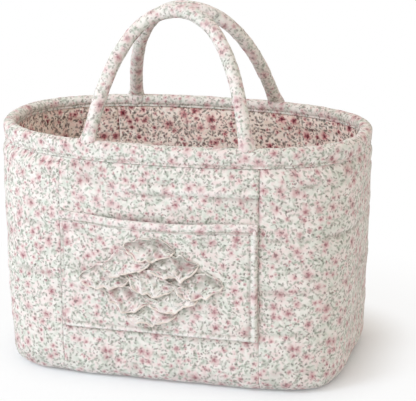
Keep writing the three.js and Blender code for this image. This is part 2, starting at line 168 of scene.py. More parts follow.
class Cloth:
    """Gathers grids of shared points into one closed mesh."""

    def __init__(self):
        self.points, self.quads, self.uvs, self.finishes, self.painted_shadings = [], [], [], [], []
        self.count = 0

    def add(self, grid, painted_shading=0.0):
        grid = np.asarray(grid, float)
        numbers = np.arange(grid.shape[0] * grid.shape[1]).reshape(grid.shape[:2]) + self.count
        self.points.append(grid.reshape(-1, 3))
        self.painted_shadings.append(np.broadcast_to(painted_shading, grid.shape[:2]).ravel())
        self.count += numbers.size
        return numbers

    def skin(self, numbers, uv, finish=0):
        uv = np.asarray(uv, float)
        corners = lambda g: np.stack([g[:-1, :-1], g[1:, :-1], g[1:, 1:], g[:-1, 1:]], 2)
        quads = corners(numbers).reshape(-1, 4)
        self.quads.append(quads)
        self.uvs.append(corners(uv).reshape(-1, 4, 2))
        self.finishes.append(np.full(len(quads), finish))

    def sheet(self, outer, inner, uv, finish=0, back=None, edge=None, painted_shading=0.0):
        """Outer and inner grids as one sheet, whose four edges are closed."""
        back = finish if back is None else back
        edge = finish if edge is None else edge
        a, b = self.add(outer, painted_shading), self.add(inner)
        self.skin(a, uv, finish)
        self.skin(b[:, ::-1], uv[:, ::-1], back)
        round_it = lambda g: np.concatenate([g[0], g[1:, -1], g[-1, -2::-1], g[-2::-1, 0]])
        rim_uv = round_it(uv)
        self.skin(np.stack([round_it(b), round_it(a)]), np.stack([rim_uv + EDGE_UV, rim_uv]), edge)
        return self

    def ring(self, grid, uv, finish=0, painted_shading=0.0):
        """A grid that is closed both ways. Its UV grid has one more row and column."""
        numbers = np.pad(self.add(grid, painted_shading), ((0, 1), (0, 1)), mode="wrap")
        self.skin(numbers, uv, finish)
        return self

    def tube(self, grid, uv, finish=0, painted_shading=0.0):
        """A grid that is closed round each row, with its two ends filled."""
        numbers = np.pad(self.add(grid, painted_shading), ((0, 0), (0, 1)), mode="wrap")
        self.skin(numbers, uv, finish)
        for end, turned in ((0, -1), (-1, 1)):
            middle = self.add(np.asarray(grid)[end].mean(0).reshape(1, 1, 3))
            fan = np.stack([numbers[end], np.full(numbers.shape[1], middle[0, 0])])
            fan_uv = np.stack([uv[end], uv[end] * 0 + uv[end].mean(0)])
            self.skin(fan[::turned], fan_uv[::turned], finish)
        return self

    def object(self, name, materials):
        points = np.concatenate(self.points) * MM
        quads, uvs = np.concatenate(self.quads), np.concatenate(self.uvs)
        finishes = np.concatenate(self.finishes)
        mesh = bpy.data.meshes.new(name)
        faces = [list(dict.fromkeys(q)) for q in quads.tolist()]
        mesh.from_pydata(points.tolist(), [], faces)
        layer = mesh.uv_layers.new(name=CLOTH_UV)
        flat = []
        for q, corner in zip(quads.tolist(), uvs.tolist()):
            kept = {}
            for number, place in zip(q, corner):
                kept.setdefault(number, place)
            flat.extend(kept.values())
        layer.data.foreach_set("uv", np.array(flat, np.float32).ravel())
        # Painted light: this attribute drives painted highlight and painted shade on the cloth.
        painted_shading = mesh.attributes.new(CLOTH_PAINTED_SHADING, "FLOAT", "POINT")
        painted_shading.data.foreach_set("value", np.concatenate(self.painted_shadings).astype(np.float32))
        for material in materials:
            mesh.materials.append(material)
        mesh.polygons.foreach_set("material_index", finishes.astype(np.int32))
        mesh.polygons.foreach_set("use_smooth", np.ones(len(faces), bool))
        face_outwards(mesh)
        return add_object(name, mesh)


sample = Cloth().sheet(*np.zeros((3, 2, 3, 3)))
print("a sheet of 2 by 3 points has", sum(len(quads) for quads in sample.quads), "faces")

# %% Places on a grid
def unit(vectors):
    return vectors / np.linalg.norm(vectors, axis=1)[:, None]


def spots(*coordinates):
    """Places from their x, y and z, each a number or a grid."""
    return np.stack(np.broadcast_arrays(*coordinates), -1)


def lengths_uv(rows, columns):
    """A UV grid from the lengths along its rows and columns in mm."""
    return np.stack(np.meshgrid(rows, columns, indexing="ij"), -1) * MM


def grid_place(grid, row, column):
    """Points on a grid of points at fractional rows and columns."""
    row = np.clip(np.asarray(row, float), 0, grid.shape[0] - 1.001)
    column = np.clip(np.asarray(column, float), 0, grid.shape[1] - 1.001)
    r, c = row.astype(int), column.astype(int)
    s, t = (row - r)[..., None], (column - c)[..., None]
    return (
        grid[r, c] * (1 - s) * (1 - t) + grid[r + 1, c] * s * (1 - t)
        + grid[r, c + 1] * (1 - s) * t + grid[r + 1, c + 1] * s * t
    )


def grid_normals(grid):
    """Unit normals of a grid, from the points beside each point."""
    along = np.gradient(grid, axis=1)
    down = np.gradient(grid, axis=0)
    normal = np.cross(along, down)
    return normal / np.maximum(np.linalg.norm(normal, axis=2, keepdims=True), 1e-9)


corners = np.arange(4.0).reshape(2, 2, 1)
print("middle of a square with the values 0 to 3:", grid_place(corners, 0.5, 0.5).round(2))

# %% [markdown]
# ## Colours and nodes
# Colours are written as sRGB hex values, as a picture shows them, and turned to
# the linear values that the shader wants. Every node is added by one function,
# which sets its settings and links what goes into it.

# %% Colours and nodes
def colour(hex_code):
    parts = [int(hex_code[i:i + 2], 16) / 255 for i in (1, 3, 5)]
    linear = [c / 12.92 if c <= 0.04045 else ((c + 0.055) / 1.055) ** 2.4 for c in parts]
    return (*linear, 1.0)


def add_node(tree, kind, inputs=None, **settings):
    """Adds a node. Inputs are given by name or number, as a value or as a socket to link."""
    node = tree.nodes.new(kind)
    for name, value in settings.items():
        setattr(node, name, value)
    for key, value in (inputs or {}).items():
        socket = node.inputs[key]
        if isinstance(value, bpy.types.NodeSocket):
            tree.links.new(value, socket)
        else:
            socket.default_value = value
    return node


def result(tree, kind, inputs=None, **settings):
    """Adds a node as above, and gives its first output."""
    return add_node(tree, kind, inputs, **settings).outputs[0]


def maths(tree, operation, *values):
    return result(tree, "ShaderNodeMath", dict(enumerate(values)), operation=operation)


def vector_maths(tree, operation, *values):
    node = add_node(tree, "ShaderNodeVectorMath", dict(enumerate(values)), operation=operation)
    return node.outputs["Value" if operation == "LENGTH" else "Vector"]


def scaled(tree, vector, factor):
    return result(tree, "ShaderNodeVectorMath", {0: vector, 3: factor}, operation="SCALE")


def flat_noise(tree, place, scale, detail, roughness=0.5):
    """The outputs of a noise over the flat cloth: a number, and a colour of three numbers."""
    settings = {"Vector": place, "Scale": scale, "Detail": detail, "Roughness": roughness}
    return add_node(tree, "ShaderNodeTexNoise", settings, noise_dimensions="2D").outputs


def blend_colours(tree, share, first, second):
    node = add_node(tree, "ShaderNodeMix", {0: share, 6: first, 7: second}, data_type="RGBA")
    return node.outputs[2]


def new_material(name):
    material = bpy.data.materials.new(name)
    material.use_nodes = True
    tree = material.node_tree
    tree.nodes.clear()
    out = add_node(tree, "ShaderNodeOutputMaterial")
    shader = add_node(tree, "ShaderNodeBsdfPrincipled")
    tree.links.new(shader.outputs[0], out.inputs[0])
    return material, tree, shader


print("half grey as a linear value:", round(colour("#808080")[0], 3))

# %% [markdown]
# ## The ditsy print
# Both fabrics are cotton poplin with a small all-over print, of the common kind
# called ditsy: roses 4 to 7 mm across, buds and leaves of 2 to 3 mm, scattered
# close together. A Voronoi pattern gives each motif a cell of its own. The
# vector from the cell's point to the shaded place gives an angle and a
# distance, from which petals and leaves follow, each turned, sized and tinted
# by the cell's own random colour. It is laid on the cloth's UV map, which is in
# metres, so the cell sizes are real ones.

# %% Motifs of the print
# Each layer's seed shifts its cells to another part of the pattern.
SEED_SHIFT = (37.3, 91.7)
LEAF_TURN, ROSE_TURN = 6.283, 40.0
PETALS = 5.0


def motif(tree, place, cell, seed):
    """A cell of the print: the vector from its point in mm, and three random numbers."""
    shifted = vector_maths(tree, "ADD", place, (seed * SEED_SHIFT[0], seed * SEED_SHIFT[1], 0))
    cells = add_node(
        tree, "ShaderNodeTexVoronoi", {"Vector": shifted, "Scale": 1 / cell, "Randomness": 0.9},
        voronoi_dimensions="2D", feature="F1",
    )
    local = vector_maths(tree, "SUBTRACT", shifted, cells.outputs["Position"])
    random = add_node(tree, "ShaderNodeSeparateColor", {0: cells.outputs["Color"]})
    return local, random.outputs


def soft_mask(tree, reach, outer, inner, top=1.0):
    """0 at the outer reach, rising smoothly to the top value at the inner one."""
    return result(tree, "ShaderNodeMapRange", {0: reach, 1: outer, 2: inner, 4: top},
                  interpolation_type="SMOOTHSTEP")


def rose(tree, place, cell, size, kept, seed):
    """Masks of a rose's pale wash, its five petals and its heart, with a number for its tone."""
    local, random = motif(tree, place, cell, seed)
    xy = add_node(tree, "ShaderNodeSeparateXYZ", {0: local}).outputs
    angle = maths(tree, "MULTIPLY_ADD", random[0], ROSE_TURN, maths(tree, "ARCTAN2", xy[1], xy[0]))
    lobes = maths(tree, "COSINE", maths(tree, "MULTIPLY", angle, PETALS))
    radius = maths(tree, "MULTIPLY", maths(tree, "MULTIPLY_ADD", lobes, 0.12, 0.88),
                   maths(tree, "MULTIPLY_ADD", random[1], 0.5 * size, 0.6 * size))
    share = maths(tree, "DIVIDE", vector_maths(tree, "LENGTH", local), radius)
    shown = maths(tree, "LESS_THAN", random[2], kept)
    masks = [soft_mask(tree, share, *limits) for limits in ((2.0, 0.9), (1.4, 0.3), (0.7, 0.1))]
    return [maths(tree, "MULTIPLY", mask, shown) for mask in masks], random[0]


def leaf(tree, place, cell, length, width, kept, seed):
    """The mask of a pointed leaf or short stem, turned at random, with a random number."""
    local, random = motif(tree, place, cell, seed)
    angle = maths(tree, "MULTIPLY", random[0], LEAF_TURN)
    turned = result(tree, "ShaderNodeVectorRotate", {"Vector": local, "Angle": angle},
                    rotation_type="Z_AXIS")
    shares = vector_maths(tree, "MULTIPLY", turned, (1 / length, 1 / width, 0))
    mask = soft_mask(tree, vector_maths(tree, "LENGTH", shares), 1.6, 0.4)
    return maths(tree, "MULTIPLY", mask, maths(tree, "LESS_THAN", random[2], kept)), random[1]


print("petals of a rose:", int(PETALS))

# %% The weave
THREAD_PITCH, THREAD_RELIEF = 0.7, 0.05


def weave_bump(tree, place, strength, crumple):
    """Plain weave, drawn at 0.7 mm where poplin has about 0.3, and a fine crumple."""
    wave = scaled(tree, place, math.pi / THREAD_PITCH)
    xy = add_node(tree, "ShaderNodeSeparateXYZ", {0: wave}).outputs
    threads = maths(tree, "MULTIPLY", maths(tree, "SINE", xy[0]), maths(tree, "SINE", xy[1]))
    creases = flat_noise(tree, place, 0.28, 3.0, 0.6)[0]
    height = maths(tree, "ADD", maths(tree, "MULTIPLY", threads, THREAD_RELIEF),
                   maths(tree, "MULTIPLY", creases, crumple))
    return result(tree, "ShaderNodeBump", {"Height": height, "Strength": strength, "Distance": MM})


print("weave drawn at", THREAD_PITCH, "mm")

# %% The print's layers
# Motifs as cell, then size or length and width in mm, share that is kept, and seed.
WASHES = ((5.2, 2.5, 1.9, 0.85, 1), (9.0, 4.2, 3.2, 0.7, 8))
LEAVES = ((4.7, 1.9, 0.9, 0.7, 2), (7.2, 2.7, 1.15, 0.75, 3))
ROSES = ((8.5, 1.7, 0.2, 4), (12.0, 3.1, 0.55, 5), (19.0, 5.0, 0.75, 6))
SPECKS = ((3.5, 0.95, 0.6, 0.45, 7), (5.6, 1.3, 0.75, 0.5, 9))
# How much of the ground each kind of motif covers.
OPACITY = {"wash": 0.62, "leaf": 0.72, "halo": 0.6, "petal": 0.85, "heart": 0.85, "speck": 0.72}


def printed(tree, flat_place, cloth, washes, leaves, petals, hearts, specks, ink_depth):
    """The print's colour: washes, leaves, roses and specks, laid one on the other."""
    wander = vector_maths(tree, "MULTIPLY_ADD", flat_noise(tree, flat_place, 0.35, 1.0)["Color"],
                          (2.2,) * 3, (-1.1,) * 3)
    place = vector_maths(tree, "ADD", flat_place, wander)
    grain = flat_noise(tree, flat_place, 0.42, 2.0)[0]
    ink = result(tree, "ShaderNodeMapRange",
                 {0: grain, 1: 0.3, 2: 0.68, 3: 0.55 * ink_depth, 4: 1.1 * ink_depth})

    def either(pair, tone):
        return blend_colours(tree, tone, colour(pair[0]), colour(pair[1]))

    def laid_on(under, mask, kind, tint):
        inked = maths(tree, "MULTIPLY", ink, OPACITY[kind])
        return blend_colours(tree, maths(tree, "MULTIPLY", mask, inked), under, tint)

    shown = either(cloth, flat_noise(tree, flat_place, 0.03, 2.0)[0])
    for wash in WASHES:
        mask, tone = leaf(tree, place, *wash)
        shown = laid_on(shown, mask, "wash", either(washes, soft_mask(tree, tone, 0.4, 0.6)))
    for one_leaf in LEAVES:
        mask, tone = leaf(tree, place, *one_leaf)
        shown = laid_on(shown, mask, "leaf", either(leaves, tone))
    for one_rose in ROSES:
        (halo, flower, heart), tone = rose(tree, place, *one_rose)
        shown = laid_on(shown, halo, "halo", colour(washes[0]))
        shown = laid_on(shown, flower, "petal", either(petals, tone))
        shown = laid_on(shown, heart, "heart", colour(hearts))
    for speck in SPECKS:
        mask, tone = leaf(tree, place, *speck)
        shown = laid_on(shown, mask, "speck", either(specks, tone))
    return shown


print("print:", len(WASHES + LEAVES + ROSES + SPECKS), "layers of motifs")

# %% Printed cotton
MATT_COTTON = {"Roughness": 0.88, "IOR": 1.46, "Sheen Weight": 0.12, "Sheen Roughness": 0.5}


def printed_cotton(name, painted_highlight_colour, painted_shade_colour, **inks):
    """Cotton poplin with the ditsy print: matt, with a soft sheen and a plain weave, and with
    painted highlight on raised cloth and painted shade in its dips.
    """
    material, tree, shader = new_material(name)
    metres = result(tree, "ShaderNodeUVMap", uv_map=CLOTH_UV)
    flat_place = scaled(tree, metres, 1 / MM)
    shown = printed(tree, flat_place, **inks)
    painted_shading = add_node(tree, "ShaderNodeAttribute", attribute_name=CLOTH_PAINTED_SHADING).outputs["Fac"]
    # Painted light: raised cloth is painted towards the highlight colour, and dips towards the shade
    # colour.
    highlight_share = maths(tree, "MULTIPLY", soft_mask(tree, painted_shading, 0.0, 2.0), 0.5)
    shade_share = maths(tree, "MULTIPLY", soft_mask(tree, painted_shading, 0.0, -2.0), 0.6)
    shown = blend_colours(tree, highlight_share, shown, colour(painted_highlight_colour))
    shown = blend_colours(tree, shade_share, shown, colour(painted_shade_colour))
    tree.links.new(shown, shader.inputs["Base Color"])
    for socket, value in MATT_COTTON.items():
        shader.inputs[socket].default_value = value
    tree.links.new(weave_bump(tree, flat_place, 0.6, 0.6), shader.inputs["Normal"])
    return material


# Each cotton's last two colours are painted light: a pale one for painted highlight and a dark one
# for painted shade.
FLORAL = printed_cotton(
    "floral cotton poplin", cloth=("#f0ebe9", "#e0e3dd"), washes=("#e6d4d4", "#cad4ca"),
    leaves=("#a2ada0", "#778474"), petals=("#d9b8b9", "#be8f94"), hearts="#925d67",
    specks=("#5a605a", "#7f6265"),
    painted_highlight_colour="#f2eff0", painted_shade_colour="#857d75", ink_depth=1.0,
)
LINING = printed_cotton(
    "lining cotton poplin", cloth=("#fffcf6", "#fff5eb"), washes=("#fadfd8", "#f5e7da"),
    leaves=("#847e72", "#3c3a34"), petals=("#c96a77", "#96293f"), hearts="#560a20",
    specks=("#2a2622", "#6b1830"),
    painted_highlight_colour="#fffaf4", painted_shade_colour="#6a524a", ink_depth=1.25,
)
for cloth in (FLORAL, LINING):
    print(cloth.name, "has", len(cloth.node_tree.nodes), "nodes")

# %% [markdown]
# ## Plain cloths
# The thread is mercerised cotton, so it has a little more gloss than the cloth.
# The petals have a folded edge on which the print is faint, so it gets a paler
# cotton. Wadding, filler and board are inside, and only need to look right when
# the pieces are pulled apart.

# %% Plain cloths
def plain_fabric(name, tones, grain, roughness, bump):
    """A matt material with a soft mottle of the given grain in millimetres."""
    material, tree, shader = new_material(name)
    place = add_node(tree, "ShaderNodeTexCoord").outputs["Object"]
    settings = {"Vector": place, "Scale": 1 / (grain * MM), "Detail": 3.0}
    speckle = result(tree, "ShaderNodeTexNoise", settings)
    mixed = blend_colours(tree, speckle, colour(tones[0]), colour(tones[1]))
    tree.links.new(mixed, shader.inputs["Base Color"])
    shader.inputs["Roughness"].default_value = roughness
    settings = {"Height": speckle, "Strength": 0.7, "Distance": bump * MM}
    tree.links.new(result(tree, "ShaderNodeBump", settings), shader.inputs["Normal"])
    return material


THREAD = plain_fabric("mercerised cotton thread", ("#f3eee6", "#e2dad0"), 0.8, 0.55, 0.2)
FOLDED_EDGE = plain_fabric("folded cotton edge", ("#f1ebe4", "#d9ccc4"), 2.5, 0.85, 0.3)
WADDING = plain_fabric("polyester wadding", ("#f7f5f0", "#e9e6df"), 4.0, 0.95, 1.0)
FILLER = plain_fabric("cotton filler cord", ("#efe8da", "#ddd3c1"), 1.5, 0.9, 0.6)
STIFFENER = plain_fabric("grey stiffener board", ("#a39a8c", "#8f877a"), 1.0, 0.75, 0.2)
print("plain cloths:", ", ".join(m.name for m in (THREAD, FOLDED_EDGE, WADDING, FILLER, STIFFENER)))

# %% [markdown]
# ## The wall's shape
# Seen from above the basket is a superellipse: rounder at the rim, squarer at
# the floor. Each of the four panels is a grid: its columns lie at even
# distances from one seam to the next, and its rows run down from the rim,
# round the soft bottom edge, to the floor piece.

# %% The wall's shape
def outline_at(z):
    rise = np.clip(z, CORNER, HEIGHT) / HEIGHT
    return [low + (high - low) * rise for low, high in zip(BASE, RIM)]


def half_width(x, a, b, n):
    """How far the outline is from the long axis at a place along it."""
    return b * (1 - np.abs(np.asarray(x) / a) ** n) ** (1 / n)


def facing(x, y, a, b, n):
    """The direction straight out of the outline at a place on it."""
    nx = np.sign(x) * np.abs(x / a) ** (n - 1) / a
    ny = np.sign(y) * np.abs(y / b) ** (n - 1) / b
    return np.stack([nx, ny], -1) / np.hypot(nx, ny)[:, None]


def panel_line(panel, z, share):
    """Places and directions at shares of the way along a panel, and distances from its middle."""
    a, b, n = outline_at(z)
    turned = -1 if panel in ("back", "left") else 1
    if panel in ("front", "back"):
        x = np.linspace(-SEAM_X, SEAM_X, 600)
        y = -half_width(x, a, b, n)
    else:
        limit = math.acos((SEAM_X / a) ** (n / 2))
        angle = np.linspace(-limit, limit, 1600)
        x = a * np.cos(angle) ** (2 / n)
        y = b * np.sign(angle) * np.abs(np.sin(angle)) ** (2 / n)
    length = np.concatenate([[0], np.cumsum(np.hypot(np.diff(x), np.diff(y)))])
    at = share * length[-1]
    x, y = np.interp(at, length, x), np.interp(at, length, y)
    place = np.stack([x, y], -1)
    return turned * place, turned * facing(x, y, a, b, n), at - length[-1] / 2


print("half length, half width, squareness at the floor:", [round(v, 1) for v in outline_at(0)])

# %% A panel's grid
def wall_rows(depth, step):
    """Rows from the rim to the floor: outline height, height, inset, tilt and distance down."""
    top = np.arange(HEIGHT - WALL_TOP_DROP, RIM_SEAM_Z, -1.0)
    swell = np.linspace(RIM_SEAM_Z, PINCH_Z, 8)
    fall = np.linspace(PINCH_Z, CORNER, round((PINCH_Z - CORNER) / step) + 1)[1:]
    radius = CORNER - depth
    angle = np.linspace(0, math.pi / 2, round(radius * math.pi / 2 / step) + 1)[1:]
    z = np.concatenate([top, swell, fall, CORNER - radius * np.sin(angle)])
    pinched = 1 - np.sin(np.clip((RIM_SEAM_Z - z) / (RIM_SEAM_Z - PINCH_Z), 0, 1) * math.pi / 2)
    rim_inset = RIM_INSET - (RIM_SQUEEZE if depth > BINDING + RIM_INSET else 0)
    inset = depth + rim_inset * pinched
    inset[len(z) - len(angle):] = CORNER - radius * np.cos(angle)
    tilt = np.zeros(len(z))
    tilt[len(z) - len(angle):] = angle
    outline_z = np.where(z >= PINCH_Z, z + (HEIGHT - z) * smooth_step(PINCH_Z, RIM_SEAM_Z, z), z)
    down = np.concatenate([[0], np.cumsum(np.hypot(np.diff(z), np.diff(inset)))])
    return np.maximum(outline_z, CORNER), z, inset, tilt, down


def panel_grid(panel, depth, step, columns):
    """A panel's bare surface: points, outward directions, distances along and down."""
    rows = wall_rows(depth, step)
    share = np.linspace(0, 1, columns + 1)
    points, outwards, alongs = [], [], []
    for outline_z, z, inset, tilt, _ in zip(*rows):
        place, out, along = panel_line(panel, outline_z, share)
        flat = place - out * inset
        seam = np.stack([-out[:, 1], out[:, 0]], -1)
        flat[0] += seam[0] * SEAM_SLIT
        flat[-1] -= seam[-1] * SEAM_SLIT
        points.append(np.column_stack([flat, np.full(len(flat), z)]))
        outwards.append(np.column_stack([out * math.cos(tilt), np.full(len(out), -math.sin(tilt))]))
        alongs.append(along)
    down = np.repeat(rows[4][:, None], columns + 1, 1)
    return np.array(points), np.array(outwards), np.array(alongs), down


PANEL_COLUMNS = {"front": 104, "right": 150, "back": 104, "left": 150}
COVER_STEP, LINING_STEP, LINING_SHARE = 2.0, 2.8, 0.72
bare = panel_grid("front", 0, COVER_STEP, PANEL_COLUMNS["front"])
print("front panel grid:", bare[0].shape[:2], "distance down, mm:", round(float(bare[3].max()), 1))

# %% Measures on a grid
def to_seams(along):
    """Distance of each point of a panel from the nearer seam."""
    return np.abs(along).max(1, keepdims=True) - np.abs(along)


def on_wall(outwards):
    """1 on the wall, falling to 0 where the surface turns under to the floor piece."""
    return 1 - smooth_step(0.72, 0.99, np.clip(-outwards[..., 2], 0, 1))


def match_rows(grid, rows):
    """A grid laid out anew in as many rows as another grid has."""
    return grid_place(grid, *np.meshgrid(
        np.linspace(0, len(grid) - 1, rows), np.arange(grid.shape[1]), indexing="ij"))


print("row heights laid out anew:", match_rows(bare[0], 3)[:, 0, 2].round(1))

# %% [markdown]
# ## The quilted cover
# Cover, wadding and lining are quilted together in wide level rows, about 50 mm
# apart, and then sewn up at four upright seams. The cloth swells between the
# rows and dips at every line of stitches, with short puckers along it. Cloth
# simulation would give swelling but not the stitched rows, so the dips are
# worked out from the distance to each line, and the puckers are stretched level.

# %% Where the cover swells and dips
QUILT_ROWS = (62.5, 107.0, 157.5, 209.0)
FOLD_Z, FOLD_FROM = 197.7, -31.0


def quilt_line(z_line, along, seed):
    """Height of a quilting line, which wanders a little along the basket."""
    flat = np.stack([along, along * 0, along * 0 + z_line], -1)
    return z_line + 1.1 * pucker(flat, (37, 1, 1), seed)


def cover_swell(panel, points, along, seed):
    """How far the cloth stands out of the bare surface, in mm."""
    z, to_seam = points[..., 2], to_seams(along)
    swell = np.full(z.shape, 0.7)
    # The quilting rows pull the cloth in, more in some places than in others, and
    # it rises beside them and puckers across them.
    for number, z_line in enumerate(QUILT_ROWS):
        to_line = z - quilt_line(z_line, along, 40 + number)
        held = 0.55 + 0.45 * pucker(points, (46, 46, 300), 50 + number)
        swell -= held * 1.25 * dip(to_line, 2.6)
        swell += 0.35 * held * dip(np.abs(to_line) - 7, 5)
        swell += 0.5 * dip(to_line, 9) * pucker(points, (8, 8, 40), 60 + number)
    # One long loose fold crosses the front above the pocket.
    if panel == "front":
        to_fold = z - FOLD_Z - 0.9 * pucker(points, (30, 30, 900), 70) - 0.012 * along
        held = smooth_step(FOLD_FROM - 12, FOLD_FROM + 25, along)
        swell -= 1.7 * held * dip(to_fold, 1.9)
        swell += 0.9 * held * dip(to_fold - 5, 3.4)
    # Soft puckers from large to small.
    swell += puckers(points, (0.75, (34, 34, 13), seed), (0.45, (15, 15, 7), seed + 1))
    swell += 0.22 * pucker(points, (7, 7, 5), seed + 2)
    # The right front seam shows as a groove above the pocket, the others faintly.
    open_seam = smooth_step(POCKET_TOP - 4, POCKET_TOP + 4, z) * (points[..., 0] > 0)
    swell -= (0.15 + 1.25 * open_seam) * dip(to_seam, 1.8) + 0.15 * dip(to_seam, 7)
    swell += 0.55 * dip(to_seam, 10) * pucker(points, (60, 60, 6), seed + 3)
    # The binding gathers the cloth below it, and the base piece does at the foot.
    rim = dip(z - RIM_SEAM_Z, 9)
    swell += rim * (0.6 * pucker(points, (6.5, 6.5, 60), seed + 4) - 0.2)
    foot = smooth_step(40, 8, z)
    swell += foot * (0.8 * pucker(points, (13, 13, 18), seed + 5) - 0.3)
    return swell


def under_pocket(along, z):
    """1 where the pocket lies over the front panel, and 0 well clear of it."""
    side = smooth_step(POCKET_HALF + 3, POCKET_HALF - 2, np.abs(along))
    top = smooth_step(POCKET_TOP + 1, POCKET_TOP - 5, z)
    return side * top * smooth_step(POCKET_BOTTOM - 3, POCKET_BOTTOM + 2, z)


print("quilting rows at", ", ".join(str(z) for z in QUILT_ROWS), "mm")

# %% The four outer panels
COVER_SHIFT, LINING_SHIFT = (61.7, 17.3), (83.1, 29.9)


def on_basket(piece, node):
    """Puts a piece in a CAD node's place, on the body that stays still."""
    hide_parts(node)
    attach(piece, "basket")
    return piece


covers, quilt_along = {}, {}
for number, panel in enumerate(PANEL_COLUMNS):
    points, outwards, along, down = panel_grid(panel, 0, COVER_STEP, PANEL_COLUMNS[panel])
    swell = cover_swell(panel, points, along, 100)
    if panel == "front":
        flat = under_pocket(along, points[..., 2])
        swell = swell * (1 - flat) + np.minimum(swell, -0.2) * flat
    swell *= on_wall(outwards)
    swell *= smooth_step(RIM_SEAM_Z + 1, RIM_SEAM_Z - 3, points[..., 2])
    outer = points + outwards * swell[..., None]
    outer[..., 2] = np.maximum(outer[..., 2], 0)
    inner = panel_grid(panel, COVER_THICKNESS, COVER_STEP, PANEL_COLUMNS[panel])[0]
    inner = match_rows(inner, len(outer))
    uv = np.stack([along + COVER_SHIFT[0] * number, down + COVER_SHIFT[1] * number], -1) * MM
    # Painted light: the cloth is painted paler where it swells and darker as painted shade in its
    # dips, less so at the seams.
    painted_shading = 0.8 * (swell - 0.75 + 0.6 * dip(to_seams(along), 4))
    piece = Cloth().sheet(outer, inner, uv, painted_shading=painted_shading).object(f"cover_{panel}", [FLORAL])
    on_basket(piece, f"outer_{panel}_panel")
    covers[panel], quilt_along[panel, False] = outer, along[0]
    print(piece.name, triangles(piece), "triangles, swell up to", swell.max().round(2), "mm")

# %% [markdown]
# ## The lining
# The lining is sewn at the same seams, but hangs a little looser. Its print
# shows above the front rim, so it gets the same care as the outside.

# %% The four lining panels
linings = {}
for number, panel in enumerate(PANEL_COLUMNS):
    columns = round(PANEL_COLUMNS[panel] * LINING_SHARE)
    face, outwards, along, down = panel_grid(panel, LINING_FACE, LINING_STEP, columns)
    back = match_rows(panel_grid(panel, LINING_BACK, LINING_STEP, columns)[0], len(face))
    z = face[..., 2]
    swell = puckers(face, (0.9, (40, 40, 16), 201), (0.5, (16, 16, 9), 202)) + 0.5
    for row, z_line in enumerate(QUILT_ROWS):
        swell -= 0.6 * dip(z - quilt_line(z_line, along, 40 + row), 3.0)
    swell -= 0.15 * dip(to_seams(along), 2.5)
    swell += dip(z - HEIGHT + INNER_DROP, 12) * 0.6 * pucker(face, (8, 8, 60), 203)
    swell = np.maximum(swell, -1.1)
    swell *= on_wall(outwards)
    swell *= smooth_step(HEIGHT - INNER_DROP + 1, HEIGHT - INNER_DROP - 2, z)
    face = face - outwards * swell[..., None]
    uv = np.stack([along + LINING_SHIFT[0] * number, down + LINING_SHIFT[1] * number], -1) * MM
    # Painted light: the lining is painted paler where it bulges and darker as painted shade in its
    # dips.
    painted_shading = 0.6 * (swell - 0.1)
    piece = Cloth().sheet(face, back, uv, painted_shading=painted_shading).object(f"lining_{panel}", [LINING])
    on_basket(piece, f"lining_{panel}_panel")
    linings[panel], quilt_along[panel, True] = face, along[0]

# %% [markdown]
# ## The floor
# Cover and lining each have a floor piece, sewn to the rounded bottom edge.
# Rings of points from the middle outwards follow the outline, so that the edge
# fits the wall all round.

# %% The floor pieces
def floor_slab(name, z_low, z_high, soft, finish, node, upward):
    """A slab that fills the outline inside the bottom edge, with puckers on one face."""
    lines = [panel_line(panel, CORNER, np.linspace(0, 1, 61)) for panel in PANEL_COLUMNS]
    edge = np.concatenate([place[:-1] - out[:-1] * (CORNER + GAP) for place, out, _ in lines])
    shares = np.concatenate([np.linspace(0.02, 0.97, 42), [0.985, 1.0]])
    rings = shares[:, None, None] * edge[None]
    low, high = (
        np.concatenate([rings, np.full((*rings.shape[:2], 1), z)], -1) for z in (z_low, z_high))
    face = high if upward else low
    relief = puckers(face, (0.4, (28, 28, 10), 301), (0.2, (11, 11, 10), 302)) + 0.4
    relief -= 0.5 * dip(np.abs(face[..., 0]) % (2 * FLOOR_ROW) - FLOOR_ROW, 3.0)
    relief *= soft * (1 - smooth_step(0.9, 1.0, shares))[:, None]
    face[..., 2] += relief if upward else np.maximum(relief, 0.0)
    grid = np.concatenate([high, low[::-1]])
    uv = np.pad(grid[..., :2], ((0, 0), (0, 1), (0, 0)), mode="wrap") * MM
    return on_basket(Cloth().tube(grid, uv).object(name, [finish]), node)


FLOOR_ROW = 30
cover_base = floor_slab(
    "cover_base", 0.0, COVER_THICKNESS, 0.35, FLORAL, "outer_base_panel", False)
lining_base = floor_slab(
    "lining_base", LINING_BACK, LINING_FACE, 0.5, LINING, "lining_base_panel",
    True)
print("floor pieces:", triangles(cover_base), triangles(lining_base), "triangles")

# %% [markdown]
# ## The rim roll
# The top edge is bound: a bias strip is wrapped over a filler cord and sewn
# down on both sides of the wall. Sewing a straight strip round a curve gathers
# it, most of all on the inner side, so its puckers run across the roll. On the
# bias the print lies diagonally, which the UV map gives by a turn of 45 degrees.

# %% The rim's section and path
def distances(line):
    """Distance of each point of a line from its start, measured along the line."""
    return np.concatenate([[0], np.cumsum(np.linalg.norm(np.diff(line, axis=0), axis=1))])


def rim_path(places):
    """Places and directions at even distances round the rim, with the distance to each."""
    lines = [panel_line(panel, HEIGHT, np.linspace(0, 1, 801)) for panel in PANEL_COLUMNS]
    place = np.concatenate([line[0][:-1] for line in lines])
    closed = np.concatenate([place, place[:1]])
    length = distances(closed)
    at = np.linspace(0, length[-1], places + 1)
    x, y = np.interp(at, length, closed[:, 0]), np.interp(at, length, closed[:, 1])
    return np.stack([x, y], -1)[:-1], facing(x, y, *RIM)[:-1], at


